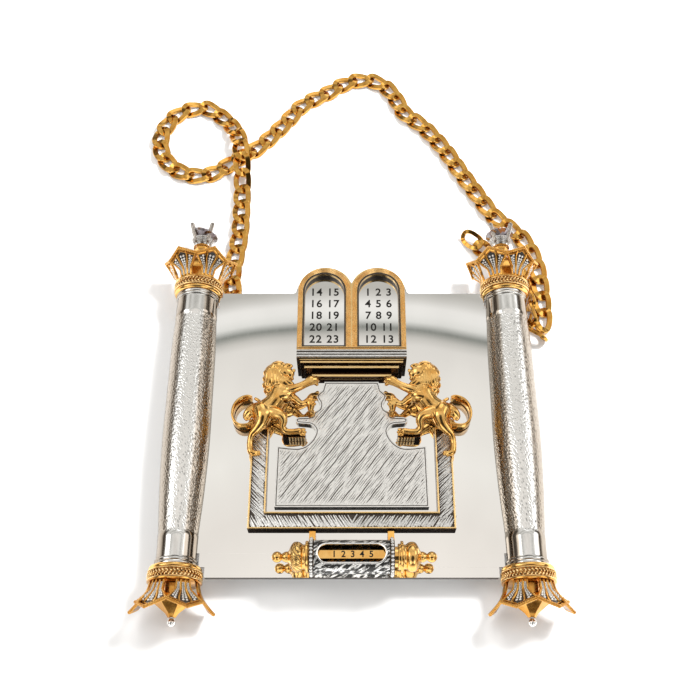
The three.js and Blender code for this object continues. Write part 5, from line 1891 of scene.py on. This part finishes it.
# Heights between which the left knob's bulb is chased
CHASED_LOW, CHASED_HIGH = 32.6, 40.2
BEAD_CIRCLE = 11.42
DRUM_MIDDLE, DRUM_FACE = 0.6, 6.33
DRUM_NUMBERS = (
    "1 2 3 4 5", "6 7 8 9", "10 11 12", "13 14 15", "16 17 18", "19 20 21", "22 23 24", "25 26 27",
)


def holder_place(shift=0.0, flip=False):
    """Frame of the holder: its Y axis runs along the tube, towards +X or, flipped, towards -X."""
    turn = Matrix.Rotation(math.pi, 4, "Z") if flip else Matrix()
    return Matrix.Translation((shift, SCROLL_Y, SCROLL_Z)) @ Matrix.Rotation(-math.pi / 2, 4, "Z") @ turn


def stadium(reach, radius):
    """Outline with round ends."""
    return arc(reach, 0, radius, -90, 90, 20) + arc(-reach, 0, radius, 90, 270, 20)


class SHIELD_OT_scroll(bpy.types.Operator):
    """Adds the scroll tube, its beaded ends, the numbered drum and its knobs"""

    bl_idname = "shield.scroll"
    bl_label = "Scroll holder"

    def tube(self):
        """Tube with its window and the window's lip."""
        tube = Form(holder_place())
        outer = [(TUBE_RADIUS, -TUBE_HALF), (TUBE_RADIUS, TUBE_HALF)]
        tube.turned([(TUBE_BORE, -TUBE_HALF), *outer, (TUBE_BORE, TUBE_HALF)], 96, ring=True)
        thing = tube.piece("feathered_tube", "feathered", "satin_silver", ["scroll_tube"], crease=40)
        reach = WINDOW_HALF - WINDOW_ROUND
        middle = Matrix.Translation((0, SCROLL_Y, SCROLL_Z))
        cutter = Form(middle)
        cutter.prism([stadium(reach, WINDOW_ROUND)], 0, 14)
        carve(thing, cutter)
        lip = Form(middle)
        edge = stadium(reach, WINDOW_ROUND + 0.45)
        path = [(x, y, math.sqrt(TUBE_RADIUS ** 2 - y * y) - 0.05) for x, y in edge]
        lip.swept(path, ellipse_section(0.62, 0.5, 10), closed=True, up=(0, 0, 1))
        lip.piece("window_lip", "silver", "satin_silver")

    def tube_end(self, side):
        """Ring painted dark as shade behind the bright beads round it."""
        end = Form(holder_place(flip=side == "left"))
        start = TUBE_HALF + SEAT
        profile = (
            (6.9, 0), (11.0, 0), (11.3, 0.3), (11.3, 2.5), (11.0, 2.8), (9.8, 2.8), (9.8, 1.2), (6.9, 1.2),
        )
        # The ring under the beads is dark: painted shade
        end.finish = 1
        end.turned([(radius, start + height) for radius, height in profile], 80, ring=True)
        end.finish = 0
        bead = sizes().bead_radius / MM
        for turn in turns(30):
            spot = (BEAD_CIRCLE * math.sin(turn), start + 1.4, BEAD_CIRCLE * math.cos(turn))
            end.ball(spot, bead, 12, 8, (1, 1.12, 1))
        end.piece(f"{side}_beaded_end", "silver dark", "polished_silver", [f"{side}_tube_end"], crease=50)

    def knob(self, side):
        """Turned knob; the left one has a chased bulb."""
        place = holder_place(DRUM_SHIFT, side == "left")
        knob = Form(place)
        start = KNOB_START[side]
        bulb = smooth_line(KNOB_BULB, 5)
        tip = []
        for k in range(1, 14):
            turn = lerp(math.asin(TIP_NECK / TIP_RADIUS), math.pi, k / 13)
            tip.append((TIP_RADIUS * math.sin(turn), TIP_MIDDLE - TIP_RADIUS * math.cos(turn)))
        knob.turned([(2.9, start), (6.5, start), *KNOB_FLANGES, *bulb[1:], *tip[:-1], (0, tip[-1][1])], 64)
        knob.turned([(0, 29.3), (2.9, 29.3), (2.9, start)], 64)
        nodes = [f"{side}_knob"]
        thing = knob.piece(f"{side}_turned_knob", "gold chased", "gold_plate", nodes, crease=40, body="drum")
        if side == "left":
            for face in thing.data.polygons:
                local = place.inverted() @ ((Vector(face.center) - ORIGIN) / MM)
                if CHASED_LOW < local.y < CHASED_HIGH:
                    face.material_index = 1

    def drum(self):
        """Plain numbers on the faces of the drum, which keeps its own shape."""
        give("indicator_drum", "gold")
        middle = Matrix.Translation(ORIGIN + Vector((DRUM_MIDDLE, SCROLL_Y, SCROLL_Z)) * MM)
        for k, turn in enumerate(turns(len(DRUM_NUMBERS))):
            place = middle @ Matrix.Rotation(turn, 4, "X") @ Matrix.Translation((0, 0, DRUM_FACE * MM))
            name, text = f"drum_numbers_{k}", DRUM_NUMBERS[k]
            lettering(name, text, 0.0056, 0.04 * MM, 0.00012, 1.25, place, "gold_plate", "drum")

    def execute(self, context):
        self.tube()
        self.drum()
        for side in SIDES:
            self.tube_end(side)
            self.knob(side)
            give(f"{side}_hanger_strap", "crown")
        return {"FINISHED"}


OPERATORS = (
    SHIELD_OT_stage, SHIELD_OT_chain, SHIELD_OT_plate, SHIELD_OT_columns, SHIELD_OT_crowns, SHIELD_OT_tablets,
    SHIELD_OT_field, SHIELD_OT_lions, SHIELD_OT_scroll,
)


class SHIELD_PT_panel(bpy.types.Panel):
    """Lists the shield's sizes, colours and pieces"""

    bl_idname = "SHIELD_PT_panel"
    bl_label = "Torah Shield"
    bl_space_type = "VIEW_3D"
    bl_region_type = "UI"
    bl_category = "Torah Shield"

    def draw(self, context):
        for group in (context.scene.shield_sizes, context.scene.shield_colours):
            box = self.layout.box()
            for name in group.bl_rna.properties.keys():
                if name not in ("rna_type", "name"):
                    box.prop(group, name)
        for operator in OPERATORS:
            self.layout.operator(operator.bl_idname)


CLASSES = (ShieldSizes, ShieldColours, *OPERATORS, SHIELD_PT_panel)


def register():
    for cls in CLASSES:
        bpy.utils.register_class(cls)
    bpy.types.Scene.shield_sizes = PointerProperty(type=ShieldSizes)
    bpy.types.Scene.shield_colours = PointerProperty(type=ShieldColours)


def unregister():
    del bpy.types.Scene.shield_sizes
    del bpy.types.Scene.shield_colours
    for cls in reversed(CLASSES):
        bpy.utils.unregister_class(cls)


def main():
    register()
    bpy.ops.shield.stage()
    bpy.ops.shield.chain()
    bpy.ops.shield.plate()
    bpy.ops.shield.columns()
    bpy.ops.shield.crowns()
    bpy.ops.shield.tablets()
    bpy.ops.shield.field()
    bpy.ops.shield.lions()
    bpy.ops.shield.scroll()


if __name__ == "__main__":
    main()
